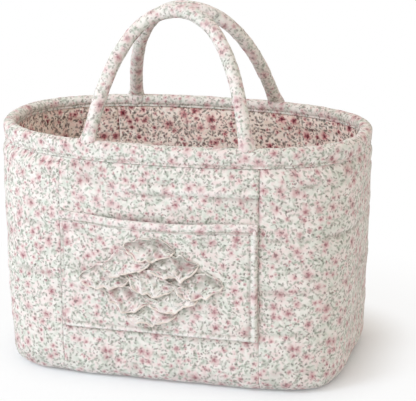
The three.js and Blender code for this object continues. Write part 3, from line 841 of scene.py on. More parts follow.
def binding_face(depth, crown_steps, leg_steps):
    """One face of the binding in section: distance in from its outer side, and down from its top."""
    angle = np.linspace(0, math.pi, crown_steps)
    crown = np.stack([
        RIM_THICKNESS / 2 - (RIM_THICKNESS / 2 - depth) * np.cos(angle),
        RIM_CROWN - (RIM_CROWN - depth) * np.sin(angle),
    ], -1)
    leg_inset = RIM_INSET - GAP - BINDING + depth
    outer_leg = np.linspace((leg_inset, OUTER_DROP), crown[0], leg_steps)[:-1]
    inner_end = (RIM_THICKNESS - leg_inset, INNER_DROP)
    inner_leg = np.linspace(crown[-1], inner_end, leg_steps // 2 + 1)[1:]
    return np.concatenate([outer_leg, crown, inner_leg])


def on_rim(section):
    """A grid of points that carries a section round the rim."""
    flat = rim_place[:, None] - rim_out[:, None] * section[None, :, :1]
    z = np.broadcast_to(HEIGHT - section[None, :, 1:], (*flat.shape[:2], 1))
    return np.concatenate([flat, z], -1)


RIM_PLACES = 800
rim_place, rim_out, rim_length = rim_path(RIM_PLACES)
outer_section, inner_section = binding_face(0, 22, 16), binding_face(BINDING, 10, 6)
print("round the rim:", round(float(rim_length[-1])), "mm, over the roll:",
      round(float(distances(outer_section)[-1])), "mm")

# %% The rim binding
TOPSTITCH_IN = 2.0
DIAGONAL = 0.7071
roll = on_rim(outer_section)
run = np.gradient(outer_section, axis=0)
away = unit(np.stack([run[:, 1], -run[:, 0]], -1))
away_3d = np.concatenate([
    -rim_out[:, None] * away[None, :, :1],
    np.broadcast_to(-away[None, :, 1:], (RIM_PLACES, len(away), 1)),
], -1)
over_rim = distances(outer_section)
to_edge = np.minimum(over_rim, over_rim[-1] - over_rim)
gather = puckers(roll, (0.6, (8, 8, 60), 401), (0.45, (4.2, 4.2, 40), 402))
puff = 0.25 + 0.5 * pucker(roll, (26, 26, 14), 403) + 0.2 * pucker(roll, (6, 6, 5), 404)
puff += gather * (0.3 + 0.8 * dip(to_edge - TOPSTITCH_IN, 5))[None]
puff -= 1.2 * dip(to_edge - TOPSTITCH_IN, 1.0)[None]
puff = np.clip(puff, -1.1, 1.3) * smooth_step(-0.8, 1.2, to_edge)[None]
roll = roll + away_3d * puff[..., None]
lined = on_rim(inner_section)
across = distances(np.concatenate([outer_section, inner_section[::-1], outer_section[:1]]))
along, over_uv = np.meshgrid(rim_length, across, indexing="ij")
along, over_uv = along * DIAGONAL, over_uv * DIAGONAL
rim_uv = np.stack([along - over_uv + 400, along + over_uv], -1) * MM
# Painted light: the roll is painted paler where it puffs and darker as painted shade at its
# topstitching, only faintly on the inner leg.
inner_leg = over_rim > over_rim[-1] - 5
rim_painted_shading = 1.1 * (puff - 0.05) * np.where(inner_leg, 0.2, 1.0)
rim_painted_shading = np.pad(rim_painted_shading, ((0, 0), (0, lined.shape[1])))
section = np.concatenate([roll, lined[:, ::-1]], 1)
rim_piece = Cloth().ring(section, rim_uv, painted_shading=rim_painted_shading).object("rim_binding_roll", [FLORAL])
on_basket(rim_piece, "rim_binding")
print("rim binding:", triangles(rim_piece), "triangles")

# %% [markdown]
# ## The handles
# Each handle is a tube of the print, turned right side out and stuffed, so it
# has one seam, which runs along the inner side of its loop, and creases where
# it is bent. Its feet are sewn to the top of the roll and spread a little there.
# A bevelled curve would be a smooth pipe, so the tube is a grid of sections.

# %% The handles' path
FOOT_Z = HEIGHT + GAP
HINGE_OFFSET, TUBE_RADIUS = 1.0, 6.8
FOOT_WIDTH, FOOT_DEPTH = 18.0, 12.0
# In mm and degrees: how far the feet are apart, the loop's shift along the rim, its
# rise and its lean towards the middle, and its shoulders and skirts, left and right.
HANDLES = {
    "front": {"side": -1, "spread": 158.8, "offset": 8.2, "rise": 130.4, "lean": 23.2,
              "shoulders": (66.5, 60.5), "skirts": (6.5, 6.5)},
    "back": {"side": 1, "spread": 152.4, "offset": -4.3, "rise": 128.2, "lean": 30.7,
             "shoulders": (62.5, 67.5), "skirts": (12.5, 8.0)},
}


def rim_y(x):
    """Distance of the rim's outer face from the middle plane."""
    return half_width(x, *RIM)


def arch(side, spread, offset, rise, lean, shoulders, places, **_):
    """Centres and directions of a handle's sections, from the left foot to the right one."""
    t = np.linspace(0, 1, 3001)[:, None]
    halves = []
    for shoulder in shoulders:
        half = spread / 2
        control = np.array([(half, 0.0), (half - 1.8, 8.0), (shoulder, rise), (0.0, rise)])
        halves.append((1 - t) ** 3 * control[0] + 3 * (1 - t) ** 2 * t * control[1]
                      + 3 * (1 - t) * t ** 2 * control[2] + t ** 3 * control[3])
    curve = np.concatenate([halves[0] * (-1, 1), halves[1][-2::-1]])
    length = distances(curve)
    at = np.linspace(0, length[-1], places)
    flat = np.stack([np.interp(at, length, curve[:, k]) for k in (0, 1)], -1)
    tilt = math.radians(lean)
    up = np.array([0, -side * math.sin(tilt), math.cos(tilt)])
    hinge_y = rim_y(spread / 2 - abs(offset) - FOOT_WIDTH / 2)
    foot_y = hinge_y - HINGE_OFFSET - FOOT_DEPTH / 2 / math.cos(tilt)
    foot = np.array([offset, side * foot_y, FOOT_Z])
    centre = flat[:, :1] * (1, 0, 0) + flat[:, 1:] * up + foot
    to_foot = np.minimum(at, at[-1] - at)
    to_roll = side * (rim_y(centre[:, 0]) - RIM_THICKNESS / 2) - foot[1]
    centre[:, 1] += to_roll * dip(to_foot, 16)
    tangent = unit(np.gradient(centre, axis=0))
    across = np.cross((1.0, 0, 0), up)
    outward = np.cross(across, tangent)
    outward *= np.sign(outward[places // 2] @ up)
    return centre, tangent, across, outward, at


for name, shape in HANDLES.items():
    print(name, "handle, middle of its top at", arch(places=3, **shape)[0][1].round(1), "mm")

# %% The handles' sections
def tube_sections(shape, radius, sides, places, wrinkled):
    """Sections of the tube. Their first point is on the outer side of the loop."""
    centre, tangent, across, outward, at = arch(places=places, **shape)
    angle = np.linspace(0, 2 * math.pi, sides, endpoint=False)
    to_foot = np.minimum(at, at[-1] - at)
    wide = (1 + 0.3 * np.exp(-to_foot / 6))[:, None, None]
    deep = (1 - 0.16 * np.exp(-to_foot / 9))[:, None, None]
    ring = (np.cos(angle)[None, :, None] * outward[:, None] * wide
            + np.sin(angle)[None, :, None] * across * deep)
    size = np.full((places, sides), float(radius))
    if wrinkled:
        rest = centre[:, None] + ring * radius
        to_seam = radius * np.abs(angle - math.pi)[None]
        turns = spots(at[:, None], 2.6 * np.cos(angle), 2.6 * np.sin(angle))
        size += puckers(turns, (0.3, (4.5, 2.0, 2.0), 501), (0.35, (14, 2.5, 2.5), 502))
        size += 0.15 * pucker(rest, (4, 4, 4), 503) + 0.3 * pucker(turns, (45, 9, 9), 504)
        size -= 0.85 * dip(to_seam, 1.0) * (1 + 0.4 * pucker(turns, (5, 50, 50), 505))
        near_foot = np.exp(-to_foot / 9)[:, None]
        pleats = spots(0 * at[:, None], 9 * np.cos(angle), 9 * np.sin(angle))
        size += 0.8 * near_foot * pucker(pleats, (30, 3.4, 3.4), 506 + int(shape["rise"]))
    points = centre[:, None] + ring * size[..., None]
    for end in (0, -1):
        lift = (FOOT_Z - points[end, :, 2]) / tangent[end, 2]
        points[end] += tangent[end] * lift[:, None]
    near = np.exp(-to_foot / 4)[:, None]
    floor_z = FOOT_Z + to_foot[:, None] * 0.55
    points[..., 2] = points[..., 2] * (1 - near) + np.maximum(points[..., 2], floor_z) * near
    return points, at, size


print("tube:", 2 * TUBE_RADIUS, "mm across")

# %% The handles' feet
def roll_face(z):
    """How far in the rim's inner face lies at a height, from its outer face."""
    rise = np.clip((z - HEIGHT + RIM_CROWN) / RIM_CROWN, 0, 1)
    fall = np.clip((HEIGHT - RIM_CROWN - z) / (INNER_DROP - RIM_CROWN), 0, 1)
    return RIM_THICKNESS / 2 * (1 + np.sqrt(1 - rise ** 2)) - 0.95 * fall


def foot_rings(ring, side, skirt, steps=8):
    """Sections that carry a foot on down: into the rim, and over its inner face by the skirt."""
    centre = ring.mean(0)
    inward = np.array([0, -side, 0.0])
    offset = ring - centre
    facing_in = np.clip(offset @ inward / np.linalg.norm(offset[:, :2], axis=1), 0, 1)
    outer = rim_y(ring[:, 0])
    rings = []
    for k in range(1, steps + 1):
        q = k / steps
        z = ring[:, 2] - q * (5.0 + (skirt - 5.0) * facing_in ** 1.5)
        point = centre + offset * (1 - 0.12 * q)
        depth = outer - side * point[:, 1]
        hug = roll_face(z) + 0.9 - 2.4 * smooth_step(0.8, 1.0, q)
        if q < 0.8:
            depth = depth + (np.maximum(depth, hug) - depth) * facing_in
        else:
            depth = depth * (1 - facing_in) + hug * facing_in
        point[:, 1] = side * (outer - depth)
        point[:, 2] = z
        rings.append(point)
    return np.array(rings)


print("roll's inner face at its top:", roll_face(HEIGHT), "mm in")

# %% Handle covers and their filling
HANDLE_PLACES, HANDLE_SIDES = 240, 36
CORE_PLACES, CORE_SIDES = 90, 16
COVER_WALL, CORE_INSET = 1.4, 1.7


def squeezed(rings):
    middle = rings.mean(1, keepdims=True)
    return middle + (rings - middle) * 0.8


def on_handle(piece, node):
    """Puts a piece in a CAD node's place, and bakes its transform into its mesh."""
    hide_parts(node)
    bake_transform(piece)


for number, (name, shape) in enumerate(HANDLES.items()):
    skin, at, size = tube_sections(shape, TUBE_RADIUS, HANDLE_SIDES, HANDLE_PLACES, True)
    left = foot_rings(skin[0], shape["side"], shape["skirts"][0])[::-1]
    right = foot_rings(skin[-1], shape["side"], shape["skirts"][1])
    outer = np.concatenate([left, skin, right])
    bore = tube_sections(shape, TUBE_RADIUS - COVER_WALL, HANDLE_SIDES, HANDLE_PLACES, False)[0]
    inner = np.concatenate([squeezed(left), bore, squeezed(right)])
    grid = np.concatenate([outer, inner[::-1]])
    along = distances(outer.mean(1))
    along = np.concatenate([along, along[::-1] + 3, [0]])
    over = np.linspace(0, 2 * math.pi * TUBE_RADIUS, HANDLE_SIDES + 1)
    uv = lengths_uv(along + 700 + 450 * number, over)
    # Painted light: the tube is painted paler where it swells and darker as painted shade at its
    # seam and creases.
    painted_shading = np.zeros(grid.shape[:2])
    painted_shading[len(left):len(left) + len(skin)] = 0.5 + 1.3 * (size - size.mean())
    cover = Cloth().ring(grid, uv, painted_shading=painted_shading).object(f"{name}_handle_tube", [FLORAL])
    on_handle(cover, f"{name}_handle_cover")
    core = tube_sections(shape, TUBE_RADIUS - CORE_INSET, CORE_SIDES, CORE_PLACES, False)[0]
    core_uv = lengths_uv(np.linspace(0, at[-1], CORE_PLACES), np.linspace(0, 40, CORE_SIDES + 1))
    filling = Cloth().tube(core, core_uv).object(f"{name}_handle_filling", [FILLER])
    on_handle(filling, f"{name}_handle_core")
    print(name, "handle:", triangles(cover), "triangles, length", round(float(at[-1])), "mm")

# %% [markdown]
# ## The pocket
# A lined patch is sewn to the front panel along three sides. Its mouth is a
# little longer than the panel is wide, so it gapes and sags, and has a folded
# hem. Its side and bottom edges are turned under and topstitched, which leaves
# a narrow puffed strip outside each line of stitches.

# %% The pocket's surface
def hump(x):
    return np.cos(math.pi / 2 * x / POCKET_HALF) ** 2


def mouth_z(x):
    return POCKET_TOP - POCKET_SAG * hump(x)


def pocket_place(x, z, lift):
    """Points in front of the front panel at a lift above it, with the pocket's gape."""
    x, z, lift = np.broadcast_arrays(x, z, lift)
    a, b, n = outline_at(z)
    y = -half_width(x, a, b, n)
    out = facing(x.ravel(), y.ravel(), a.ravel(), b.ravel(), n.ravel()).reshape(*x.shape, 2)
    height = (z - POCKET_BOTTOM) / (mouth_z(x) - POCKET_BOTTOM)
    reach = lift + POCKET_BULGE * hump(x) * np.maximum(0, height) ** 1.5
    return np.stack([x + out[..., 0] * reach, y + out[..., 1] * reach, z + 0 * x], -1)


POCKET_COLUMNS, POCKET_ROWS = 110, 66
PATCH_BACK, PATCH_FACE = 1.6, 3.6
INSIDE_BACK, INSIDE_FACE = 0.3, 1.3
STITCH_IN = {"left": 2.6, "right": 7.0, "bottom": 5.4}
RUFFLE_X, RUFFLE_Z = -6.0, 112.0
x_line = np.linspace(-POCKET_HALF, POCKET_HALF, POCKET_COLUMNS + 1)[None]
drop_line = np.linspace(0, 1, POCKET_ROWS + 1)[:, None] ** 0.97
pocket_x = np.repeat(x_line, POCKET_ROWS + 1, 0)
pocket_z = (mouth_z(x_line) - 1.2) * (1 - drop_line) + POCKET_BOTTOM * drop_line
from_left, from_right = pocket_x + POCKET_HALF, POCKET_HALF - pocket_x
from_bottom = pocket_z - POCKET_BOTTOM
flat = np.stack([pocket_x, 0 * pocket_x, pocket_z], -1)
puff = puckers(flat, (0.7, (26, 1, 13), 601), (0.4, (12, 1, 8), 602), (0.2, (6, 1, 5), 603)) + 0.5
for distance, inset in ((from_left, "left"), (from_right, "right"), (from_bottom, "bottom")):
    middle = STITCH_IN[inset] / 2
    puff += 1.3 * dip(distance - middle, middle * 0.75)
    puff -= 1.7 * dip(distance - STITCH_IN[inset], 1.2) + 1.9 * dip(distance, 0.9)
    puff += 0.5 * dip(distance - STITCH_IN[inset], 7) * pucker(flat, (7, 1, 7), 604)
on_ruffle = np.abs(pocket_x - RUFFLE_X) / 74 + np.abs(pocket_z - RUFFLE_Z) / 46
puff = puff * (1 - 0.85 * smooth_step(1.15, 0.85, on_ruffle))
puff = np.clip(puff, -1.75, 1.9)
print("pocket puff", puff.min().round(2), "to", puff.max().round(2), "mm")

# %% The pocket and its lining
pocket_face = pocket_place(pocket_x, pocket_z, PATCH_FACE + puff)
pocket_back = pocket_place(pocket_x, pocket_z, PATCH_BACK)
pocket_uv = np.stack([pocket_x + 300, -pocket_z + 500], -1) * MM
# Painted light: the pocket is painted paler on its puffed strips and darker as painted shade at its
# stitches and edges.
painted_shading = np.maximum(1.1 * (puff - 0.5), -1.3)
pocket = Cloth().sheet(pocket_face, pocket_back, pocket_uv, painted_shading=painted_shading)
pocket = pocket.object("pocket_front", [FLORAL])
on_basket(pocket, "pocket_panel")
inside_face, inside_back = (
    pocket_place(pocket_x[::3], pocket_z[::3], lift) for lift in (INSIDE_FACE, INSIDE_BACK))
pocket_inside = Cloth().sheet(inside_face, inside_back, pocket_uv[::3])
pocket_inside = pocket_inside.object("pocket_inside", [LINING])
on_basket(pocket_inside, "pocket_lining")
print("pocket:", triangles(pocket), "triangles, its lining:", triangles(pocket_inside))

# %% The pocket's hem
# Sections of the fold as lift above the panel and drop below the mouth, in mm.
hem_outer = [(0.45, 2.4), (0.3, 1.0), (0.9, 0.1), (2.4, -0.3), (3.9, -0.1), (4.9, 0.6), (5.35, 1.8),
             (5.45, 3.2), (5.4, 4.6), (5.2, 5.9), (4.9, 6.9), (4.65, 7.6), (4.85, 8.2), (4.95, 8.8),
             (4.5, 9.4)]
hem_inner = [(4.0, 9.2), (3.95, 7.5), (3.95, 5.0), (3.95, 2.6), (3.8, 1.4), (3.0, 1.0), (2.0, 1.0),
             (1.1, 1.3), (1.0, 2.4)]
HEM_STITCH = 11
hem_section = np.array(hem_outer + hem_inner)
stitch_drop = hem_section[HEM_STITCH, 1]
hem_x = np.linspace(-POCKET_HALF, POCKET_HALF, 131)[:, None]
lift, hem_drop = hem_section[None, :, 0], hem_section[None, :, 1]
shown = np.arange(len(hem_section)) < len(hem_outer)
place = spots(hem_x, 3 * lift, hem_drop)
wrinkle = puckers(place, (0.35, (6, 9, 7), 611), (0.3, (17, 9, 9), 612))
wrinkle = np.where(shown, wrinkle, 0) * smooth_step(0.4, 3.5, hem_section[:, 0])
lift = np.repeat(lift, len(hem_x), 0) + wrinkle
hem_drop = hem_drop - 0.3 * pucker(place, (22, 90, 90), 613)
hem_grid = pocket_place(hem_x, mouth_z(hem_x) - hem_drop, lift)
over = distances(np.concatenate([hem_section, hem_section[:1]]))
hem_uv = lengths_uv(hem_x[:, 0] + 1300, over + 40)
# Painted light: the hem's outer face is painted as a pale highlight, with a painted shade line along
# its stitching.
hem_painted_shading = np.where(shown, 0.95 - 3.0 * dip(hem_section[:, 1] - stitch_drop, 1.3), 0.0)[None]
hem = Cloth().tube(hem_grid, hem_uv, painted_shading=hem_painted_shading).object("pocket_hem_fold", [FLORAL])
on_basket(hem, "pocket_hem")
print("hem:", triangles(hem), "triangles")

# %% [markdown]
# ## The ruffle cluster
# Nine petals of gathered cloth lie in a diamond on the pocket, like shingles:
# each is held along its upper edge, and its lower edge stands free, waves, and
# throws a shadow on the next. Its rolled edge shows the cloth's pale back. They
# differ only in their turn and folds, so one function makes them all.

# %% The petals
PETAL_LENGTH, PETAL_HEIGHT = 52.0, 25.0
PETAL_PITCH = (24.0, 17.0)
PETAL_BASE = 4.0
PETAL_THICKNESS = 0.9
END_WIDTH = 0.1
TURNS = (-7, 10, 4, 12, -9, -13, -4, 9, 6)


def petal_place(number, u, v, lift):
    """Points on a petal from its shares along and across, and their height above its bed."""
    i, j = divmod(number, 3)
    across = END_WIDTH + (1 - END_WIDTH) * np.cos(math.pi / 2 * np.clip(u, -1, 1)) ** 0.8
    spot = spots(9.0 * u, 4.0 * np.sign(v), 0 * u)
    ragged = 1 + 0.24 * pucker(spot, (1.9, 1, 1), 770 + number) * np.abs(v)
    x = PETAL_LENGTH / 2 * u
    z = PETAL_HEIGHT / 2 * v * across * ragged + 2.2 * np.sin(2.4 * u + number)
    turn = math.radians(TURNS[number])
    flat_x = x * math.cos(turn) - z * math.sin(turn) + RUFFLE_X + (i - j) * PETAL_PITCH[0]
    flat_z = x * math.sin(turn) + z * math.cos(turn) + RUFFLE_Z + (2 - i - j) * PETAL_PITCH[1]
    return pocket_place(flat_x, flat_z, PETAL_BASE + lift)


def petal_lift(number, u, v):
    """Height of a petal's face: low at its upper edge, and waving at its free lower edge."""
    spot = spots(24.0 * u, 11.0 * v, 0 * u)
    free = (0.5 - 0.5 * v) * (1 - 0.75 * u ** 4)
    lift = 1.1 + 0.8 * (number * 2 % 3) + 5.4 * free ** 1.4 + 1.5 * dip(v - 1, 0.2) * (1 - u ** 4)
    slant = 9 * u + 4.5 * v + number + 1.8 * pucker(spot, (15, 9, 1), 700 + number)
    lift += 1.9 * (free + 0.15) * (1 - np.abs(np.sin(slant / 1.6)) ** 0.8 * 2)
    lift += (0.6 + 1.1 * free) * pucker(spot, (6.5, 4.5, 1), 710 + number)
    lift += 0.5 * pucker(spot, (2.8, 2.4, 1), 720 + number)
    return np.maximum(lift, PETAL_THICKNESS + 0.1)


def rolled_edge(number):
    """A thin closed tube round a petal's edge, which is the rolled turn of the cloth."""
    t = np.linspace(0, 2 * math.pi, 150, endpoint=False)
    u, v = np.cos(t), np.sign(np.sin(t)) * np.minimum(1, 2.5 * np.abs(np.sin(t)))
    line = petal_place(number, u, v, petal_lift(number, u, v) - PETAL_THICKNESS / 2)
    tangent = unit(np.roll(line, -1, 0) - np.roll(line, 1, 0))
    first = unit(np.cross(tangent, (0, 1.0, 0)))
    second = np.cross(tangent, first)
    angle = np.linspace(0, 2 * math.pi, 8, endpoint=False)[None, :, None]
    thick = (0.6 - 0.3 * v + 0.25 * pucker(line, (3, 3, 3), 760))[:, None, None]
    ring = np.cos(angle) * first[:, None] + np.sin(angle) * second[:, None]
    return line[:, None] + thick * ring


print("petals", PETAL_LENGTH, "by", PETAL_HEIGHT, "mm, set", PETAL_PITCH, "mm apart")

# %% Nine petals
for number in range(9):
    u, v = np.meshgrid(np.linspace(-1, 1, 61), np.linspace(1, -1, 33))
    lift = petal_lift(number, u, v)
    top, back = (petal_place(number, u, v, height) for height in (lift, lift - PETAL_THICKNESS))
    uv = np.stack([PETAL_LENGTH / 2 * u + 90 * number, 13 * v + 55 * number], -1) * MM
    # Painted light: each petal is painted darker as painted shade where it lies low, paler where it
    # stands up, and paler still at its edges.
    painted_shading = 0.5 * (lift - 4.6) + 1.4 * dip(np.abs(v) - 1, 0.1)
    cloth = Cloth().sheet(top, back, uv, edge=1, painted_shading=painted_shading)
    edge = rolled_edge(number)
    cloth.ring(edge, np.zeros((len(edge) + 1, edge.shape[1] + 1, 2)), finish=1)
    petal = cloth.object(f"petal_{number + 1}", [FLORAL, FOLDED_EDGE])
    on_basket(petal, f"ruffle_petal_{number + 1}")
print("9 petals of", triangles(petal), "triangles, lift of the last", lift.max().round(1), "mm")

# %% [markdown]
# ## The stitches
# Every seam and quilting row is sewn with a running stitch of the same thread.
# Geometry Nodes suit what repeats along a path: one tree takes the lines as a
# mesh of edges, lays points along them at the pitch, and puts the same small
# stitch at each, turned along the line. Its length varies by a fixed seed.

# %% Running stitches as a node tree
def running_stitches():
    tree = bpy.data.node_groups.new("Running stitches", "GeometryNodeTree")
    face = tree.interface
    face.new_socket("Lines", in_out="INPUT", socket_type="NodeSocketGeometry")
    for name in ("Pitch", "Length", "Thickness"):
        face.new_socket(name, in_out="INPUT", socket_type="NodeSocketFloat")
    face.new_socket("Seed", in_out="INPUT", socket_type="NodeSocketInt")
    face.new_socket("Thread", in_out="INPUT", socket_type="NodeSocketMaterial")
    face.new_socket("Stitches", in_out="OUTPUT", socket_type="NodeSocketGeometry")
    given = add_node(tree, "NodeGroupInput").outputs
    curve = result(tree, "GeometryNodeMeshToCurve", {"Mesh": given["Lines"]})
    paced = result(tree, "GeometryNodeResampleCurve", {"Curve": curve, "Length": given["Pitch"]},
                   mode="LENGTH")
    stitch = result(tree, "GeometryNodeMeshUVSphere", {"Segments": 6, "Rings": 4, "Radius": 0.5})
    along = result(tree, "GeometryNodeInputTangent")
    turned = result(tree, "FunctionNodeAlignRotationToVector", {"Vector": along}, axis="Z")
    varied = add_node(tree, "FunctionNodeRandomValue", {2: 0.85, 3: 1.1, "Seed": given["Seed"]},
                      data_type="FLOAT").outputs[1]
    long = maths(tree, "MULTIPLY", given["Length"], varied)
    size = result(tree, "ShaderNodeCombineXYZ",
                  {0: given["Thickness"], 1: given["Thickness"], 2: long})
    placed = result(tree, "GeometryNodeInstanceOnPoints",
                    {"Points": paced, "Instance": stitch, "Rotation": turned, "Scale": size})
    real = result(tree, "GeometryNodeRealizeInstances", {"Geometry": placed})
    smooth = result(tree, "GeometryNodeSetShadeSmooth", {"Geometry": real})
    sewn = result(tree, "GeometryNodeSetMaterial",
                  {"Geometry": smooth, "Material": given["Thread"]})
    add_node(tree, "NodeGroupOutput", {"Stitches": sewn})
    return tree


stitch_tree = running_stitches()
print(stitch_tree.name + ":", len(stitch_tree.nodes), "nodes")

# %% Lines on a grid
THREAD_LIFT = 0.12


def line_on(grid, rows, columns, lift=THREAD_LIFT):
    """A line over a grid at fractional rows and columns, lifted off its outer face."""
    normals = grid_normals(grid)
    return grid_place(grid, rows, columns) + grid_place(normals, rows, columns) * lift


def quilt_stitches(panel, grid, step_in, inside):
    """Lines of stitches on a panel's rows, which end a little short of its seams."""
    columns = np.arange(step_in, grid.shape[1] - step_in)
    lines = []
    for number, z_line in enumerate(QUILT_ROWS):
        if panel == "front" and not inside and z_line < POCKET_TOP:
            continue
        sewn_z = quilt_line(z_line, quilt_along[panel, inside], 40 + number)
        rows = [np.interp(-sewn_z[c], -grid[:, c, 2], np.arange(len(grid))) for c in columns]
        lift = -THREAD_LIFT if inside else THREAD_LIFT
        lines.append(line_on(grid, np.array(rows), columns, lift))
    return lines


print("thread lies", THREAD_LIFT, "mm off the cloth")

# %% The lines that are sewn
sewn = []
for panel in PANEL_COLUMNS:
    sewn += quilt_stitches(panel, covers[panel], 1, False)
    sewn += quilt_stitches(panel, linings[panel], 1, True)
places = np.append(np.arange(RIM_PLACES), 0)
for distance in (TOPSTITCH_IN, over_rim[-1] - TOPSTITCH_IN):
    column = np.interp(distance, over_rim, np.arange(len(over_rim)))
    sewn.append(line_on(roll, places, np.full(len(places), column), -THREAD_LIFT))
left_column, right_column = (
    np.interp(x, x_line[0], np.arange(POCKET_COLUMNS + 1))
    for x in (-POCKET_HALF + STITCH_IN["left"], POCKET_HALF - STITCH_IN["right"]))
rows_up = np.arange(POCKET_ROWS, -1, -1)
low_row = float(np.interp(STITCH_IN["bottom"], from_bottom[::-1, 0], rows_up))
sides = np.linspace(5, low_row, 60)
for column in (left_column, right_column):
    sewn.append(line_on(pocket_face, sides, np.full(60, column)))
bottom = np.linspace(left_column, right_column, 100)
sewn.append(line_on(pocket_face, np.full(100, low_row), bottom))
hem_column = np.full(len(hem_x) - 4, float(HEM_STITCH))
hem_rows = np.arange(2, len(hem_x) - 2)
sewn.append(line_on(hem_grid[:, :HEM_STITCH + 2], hem_rows, hem_column, -THREAD_LIFT))
print(len(sewn), "lines of", sum(len(line) for line in sewn), "points")

# %% The stitches
STITCH_TRIANGLES = 36
thread_lines = bpy.data.meshes.new("stitches")
edges, first = [], 0
for line in sewn:
    edges += [(first + k, first + k + 1) for k in range(len(line) - 1)]
    first += len(line)
thread_lines.from_pydata((np.concatenate(sewn) * MM).tolist(), edges, [])
stitches = add_object("stitches", thread_lines)
stitch_nodes = stitches.modifiers.new("stitches", "NODES")
stitch_nodes.node_group = stitch_tree
named = {item.name: item.identifier for item in stitch_tree.interface.items_tree}
settings = {"Pitch": 3.3 * MM, "Length": 2.4 * MM, "Thickness": 0.45 * MM, "Seed": 7,
            "Thread": THREAD}
for name, value in settings.items():
    stitch_nodes[named[name]] = value
sewn_mesh = bpy.data.meshes.new_from_object(
    stitches.evaluated_get(bpy.context.evaluated_depsgraph_get()))
stitches.modifiers.clear()
stitches.data = sewn_mesh
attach(stitches, "basket")
print("stitches:", triangles(stitches) // STITCH_TRIANGLES)

# %% [markdown]
# ## What stays inside
# Wadding, stiffener, filler and the handles' sewn-in ends are hidden when the
# basket is whole. Their CAD shapes are right as they are, so they stay, and get
# the finish of what they are made of.

# %% Inner pieces
FINISHES = {"wadding": WADDING, "base_board": STIFFENER, "rim_cord": FILLER, "handle_tab": THREAD}
for node_name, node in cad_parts.items():
    for words, finish in FINISHES.items():
        if words in node_name:
            node.data.materials.clear()
            node.data.materials.append(finish)
            print("inside:", node_name, "-", finish.name)

# %% [markdown]
# ## Stage
# The basket stands on a plain white floor, and is lit as for a catalogue: a wide
# soft lamp from the front left, a weak one from the front, and a slightly
# warmer even light from all round, which is all that the right end and the
# inside get. In such a picture the floor fades to pure white round a soft
# shadow. So the floor turns from matt to self-lit white with the distance from
# a rounded box a little behind the basket's footprint, where only the camera
# and mirrored rays see it, and the light on the cloth stays as it is.

# %% Floor
FLOOR_HALF, FLOOR_Z = 12.0, -0.0002
FOOTPRINT_CORE, FOOTPRINT_CORNER = (0.102, 0.034, 0.01), 0.055
SHADOW_MIDDLE = (0.009, 0.018, 0.0)
# How the floor turns white: from and to a distance off the footprint, and by which share.
WHITENING = ((-0.004, 0.074, 0.84), (0.05, 0.25, 0.16))


def seen_directly(tree):
    """1 for rays from the camera, and mirrored or passing ones, and 0 for those that light."""
    rays = add_node(tree, "ShaderNodeLightPath").outputs
    return maths(tree, "MAXIMUM", rays["Is Camera Ray"],
                 maths(tree, "MAXIMUM", rays["Is Glossy Ray"], rays["Is Transmission Ray"]))


def mix_into(tree, kind, share, first, second):
    """Links two shaders, mixed by a share, into the output node of the given kind."""
    shaders = {0: share, 1: first.outputs[0], 2: second.outputs[0]}
    mixed = result(tree, "ShaderNodeMixShader", shaders)
    tree.links.new(mixed, add_node(tree, kind).inputs[0])


def make_floor():
    mesh = bpy.data.meshes.new("floor")
    corners = [(x * FLOOR_HALF, y * FLOOR_HALF, 0) for x, y in ((-1, -1), (1, -1), (1, 1), (-1, 1))]
    mesh.from_pydata(corners, [], [(0, 1, 2, 3)])
    floor = add_object("floor", mesh)
    floor.location.z = FLOOR_Z
    material = bpy.data.materials.new("matt white floor")
    material.use_nodes = True
    tree = material.node_tree
    tree.nodes.clear()
    matt = add_node(tree, "ShaderNodeBsdfDiffuse", {"Color": colour("#eef3f8")})
    white = add_node(tree, "ShaderNodeEmission", {"Color": (1, 1, 1, 1), "Strength": 1.0})
    place = add_node(tree, "ShaderNodeTexCoord").outputs["Object"]
    from_middle = vector_maths(tree, "SUBTRACT", place, SHADOW_MIDDLE)
    past_core = vector_maths(
        tree, "SUBTRACT", vector_maths(tree, "ABSOLUTE", from_middle), FOOTPRINT_CORE)
    reach = vector_maths(tree, "LENGTH", vector_maths(tree, "MAXIMUM", past_core, (0, 0, 0)))
    shares = [soft_mask(tree, reach, FOOTPRINT_CORNER + start, FOOTPRINT_CORNER + end, share)
              for start, end, share in WHITENING]
    whitened = maths(tree, "MULTIPLY", seen_directly(tree), maths(tree, "ADD", *shares))
    mix_into(tree, "ShaderNodeOutputMaterial", whitened, matt, white)
    mesh.materials.append(material)


make_floor()
print("floor:", 2 * FLOOR_HALF, "m square")

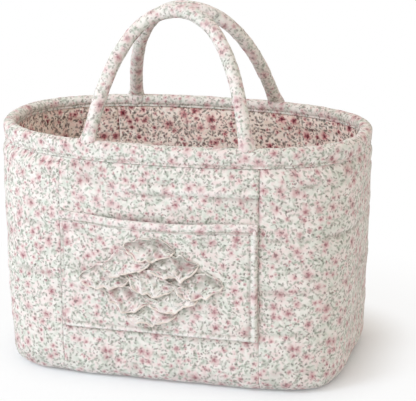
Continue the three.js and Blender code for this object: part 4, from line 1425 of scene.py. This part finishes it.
# %% Lamps
def area_lamp(name, place, aim, size, power, tint):
    lamp = bpy.data.lights.new(name, "AREA")
    lamp.shape, lamp.size, lamp.energy = "DISK", size, power
    lamp.color = colour(tint)[:3]
    obj = add_object(name, lamp)
    obj.location = place
    obj.rotation_euler = (Vector(aim) - Vector(place)).to_track_quat("-Z", "Y").to_euler()


area_lamp("key lamp", (-1.0, -1.1, 1.2), (0, 0, 0.15), 0.7, 15.0, "#e8f3ff")
area_lamp("front lamp", (-0.2, -2.4, 1.0), (0, 0, 0.15), 1.4, 4.5, "#f2f8ff")
world = bpy.data.worlds.new("studio")
bpy.context.scene.world = world
world.use_nodes = True
tree = world.node_tree
tree.nodes.clear()
even = add_node(tree, "ShaderNodeBackground", {"Color": colour("#fff3e6"), "Strength": 0.83})
white = add_node(tree, "ShaderNodeBackground", {"Color": (1, 1, 1, 1), "Strength": 1.0})
mix_into(tree, "ShaderNodeOutputWorld", seen_directly(tree), even, white)
bpy.context.scene.view_settings.view_transform = "Standard"
print("lamps:", len(bpy.data.lights), "and even light")

# %% [markdown]
# ## Camera
# A long lens, 17 degrees round to the right, looks down at the basket by 19
# degrees and is held 1.5 degrees off level. Its shift moves the picture without
# a turn. These values were fitted to the basket's outline in the photograph.

# %% Camera
AZIMUTH, ELEVATION, ROLL = (math.radians(degrees) for degrees in (17.259, 19.322, -1.475))
DISTANCE, LENS, AIM_HEIGHT = 1.8231, 152.125, 0.114
SENSOR, SHIFT = 36.0, (0.04803, 0.10346)
back = Vector((math.sin(AZIMUTH) * math.cos(ELEVATION), -math.cos(AZIMUTH) * math.cos(ELEVATION),
               math.sin(ELEVATION)))
lens = bpy.data.cameras.new("camera")
camera = add_object("camera", lens)
camera.location = Vector((0, 0, AIM_HEIGHT)) + back * DISTANCE
level = (-back).to_track_quat("-Z", "Y")
camera.rotation_euler = (level @ Quaternion((0, 0, 1), ROLL)).to_euler()
lens.sensor_width, lens.lens = SENSOR, LENS
lens.shift_x, lens.shift_y = SHIFT
bpy.context.scene.camera = camera
print("camera at", [round(c, 3) for c in camera.location])

# %% The end
bpy.context.view_layer.update()
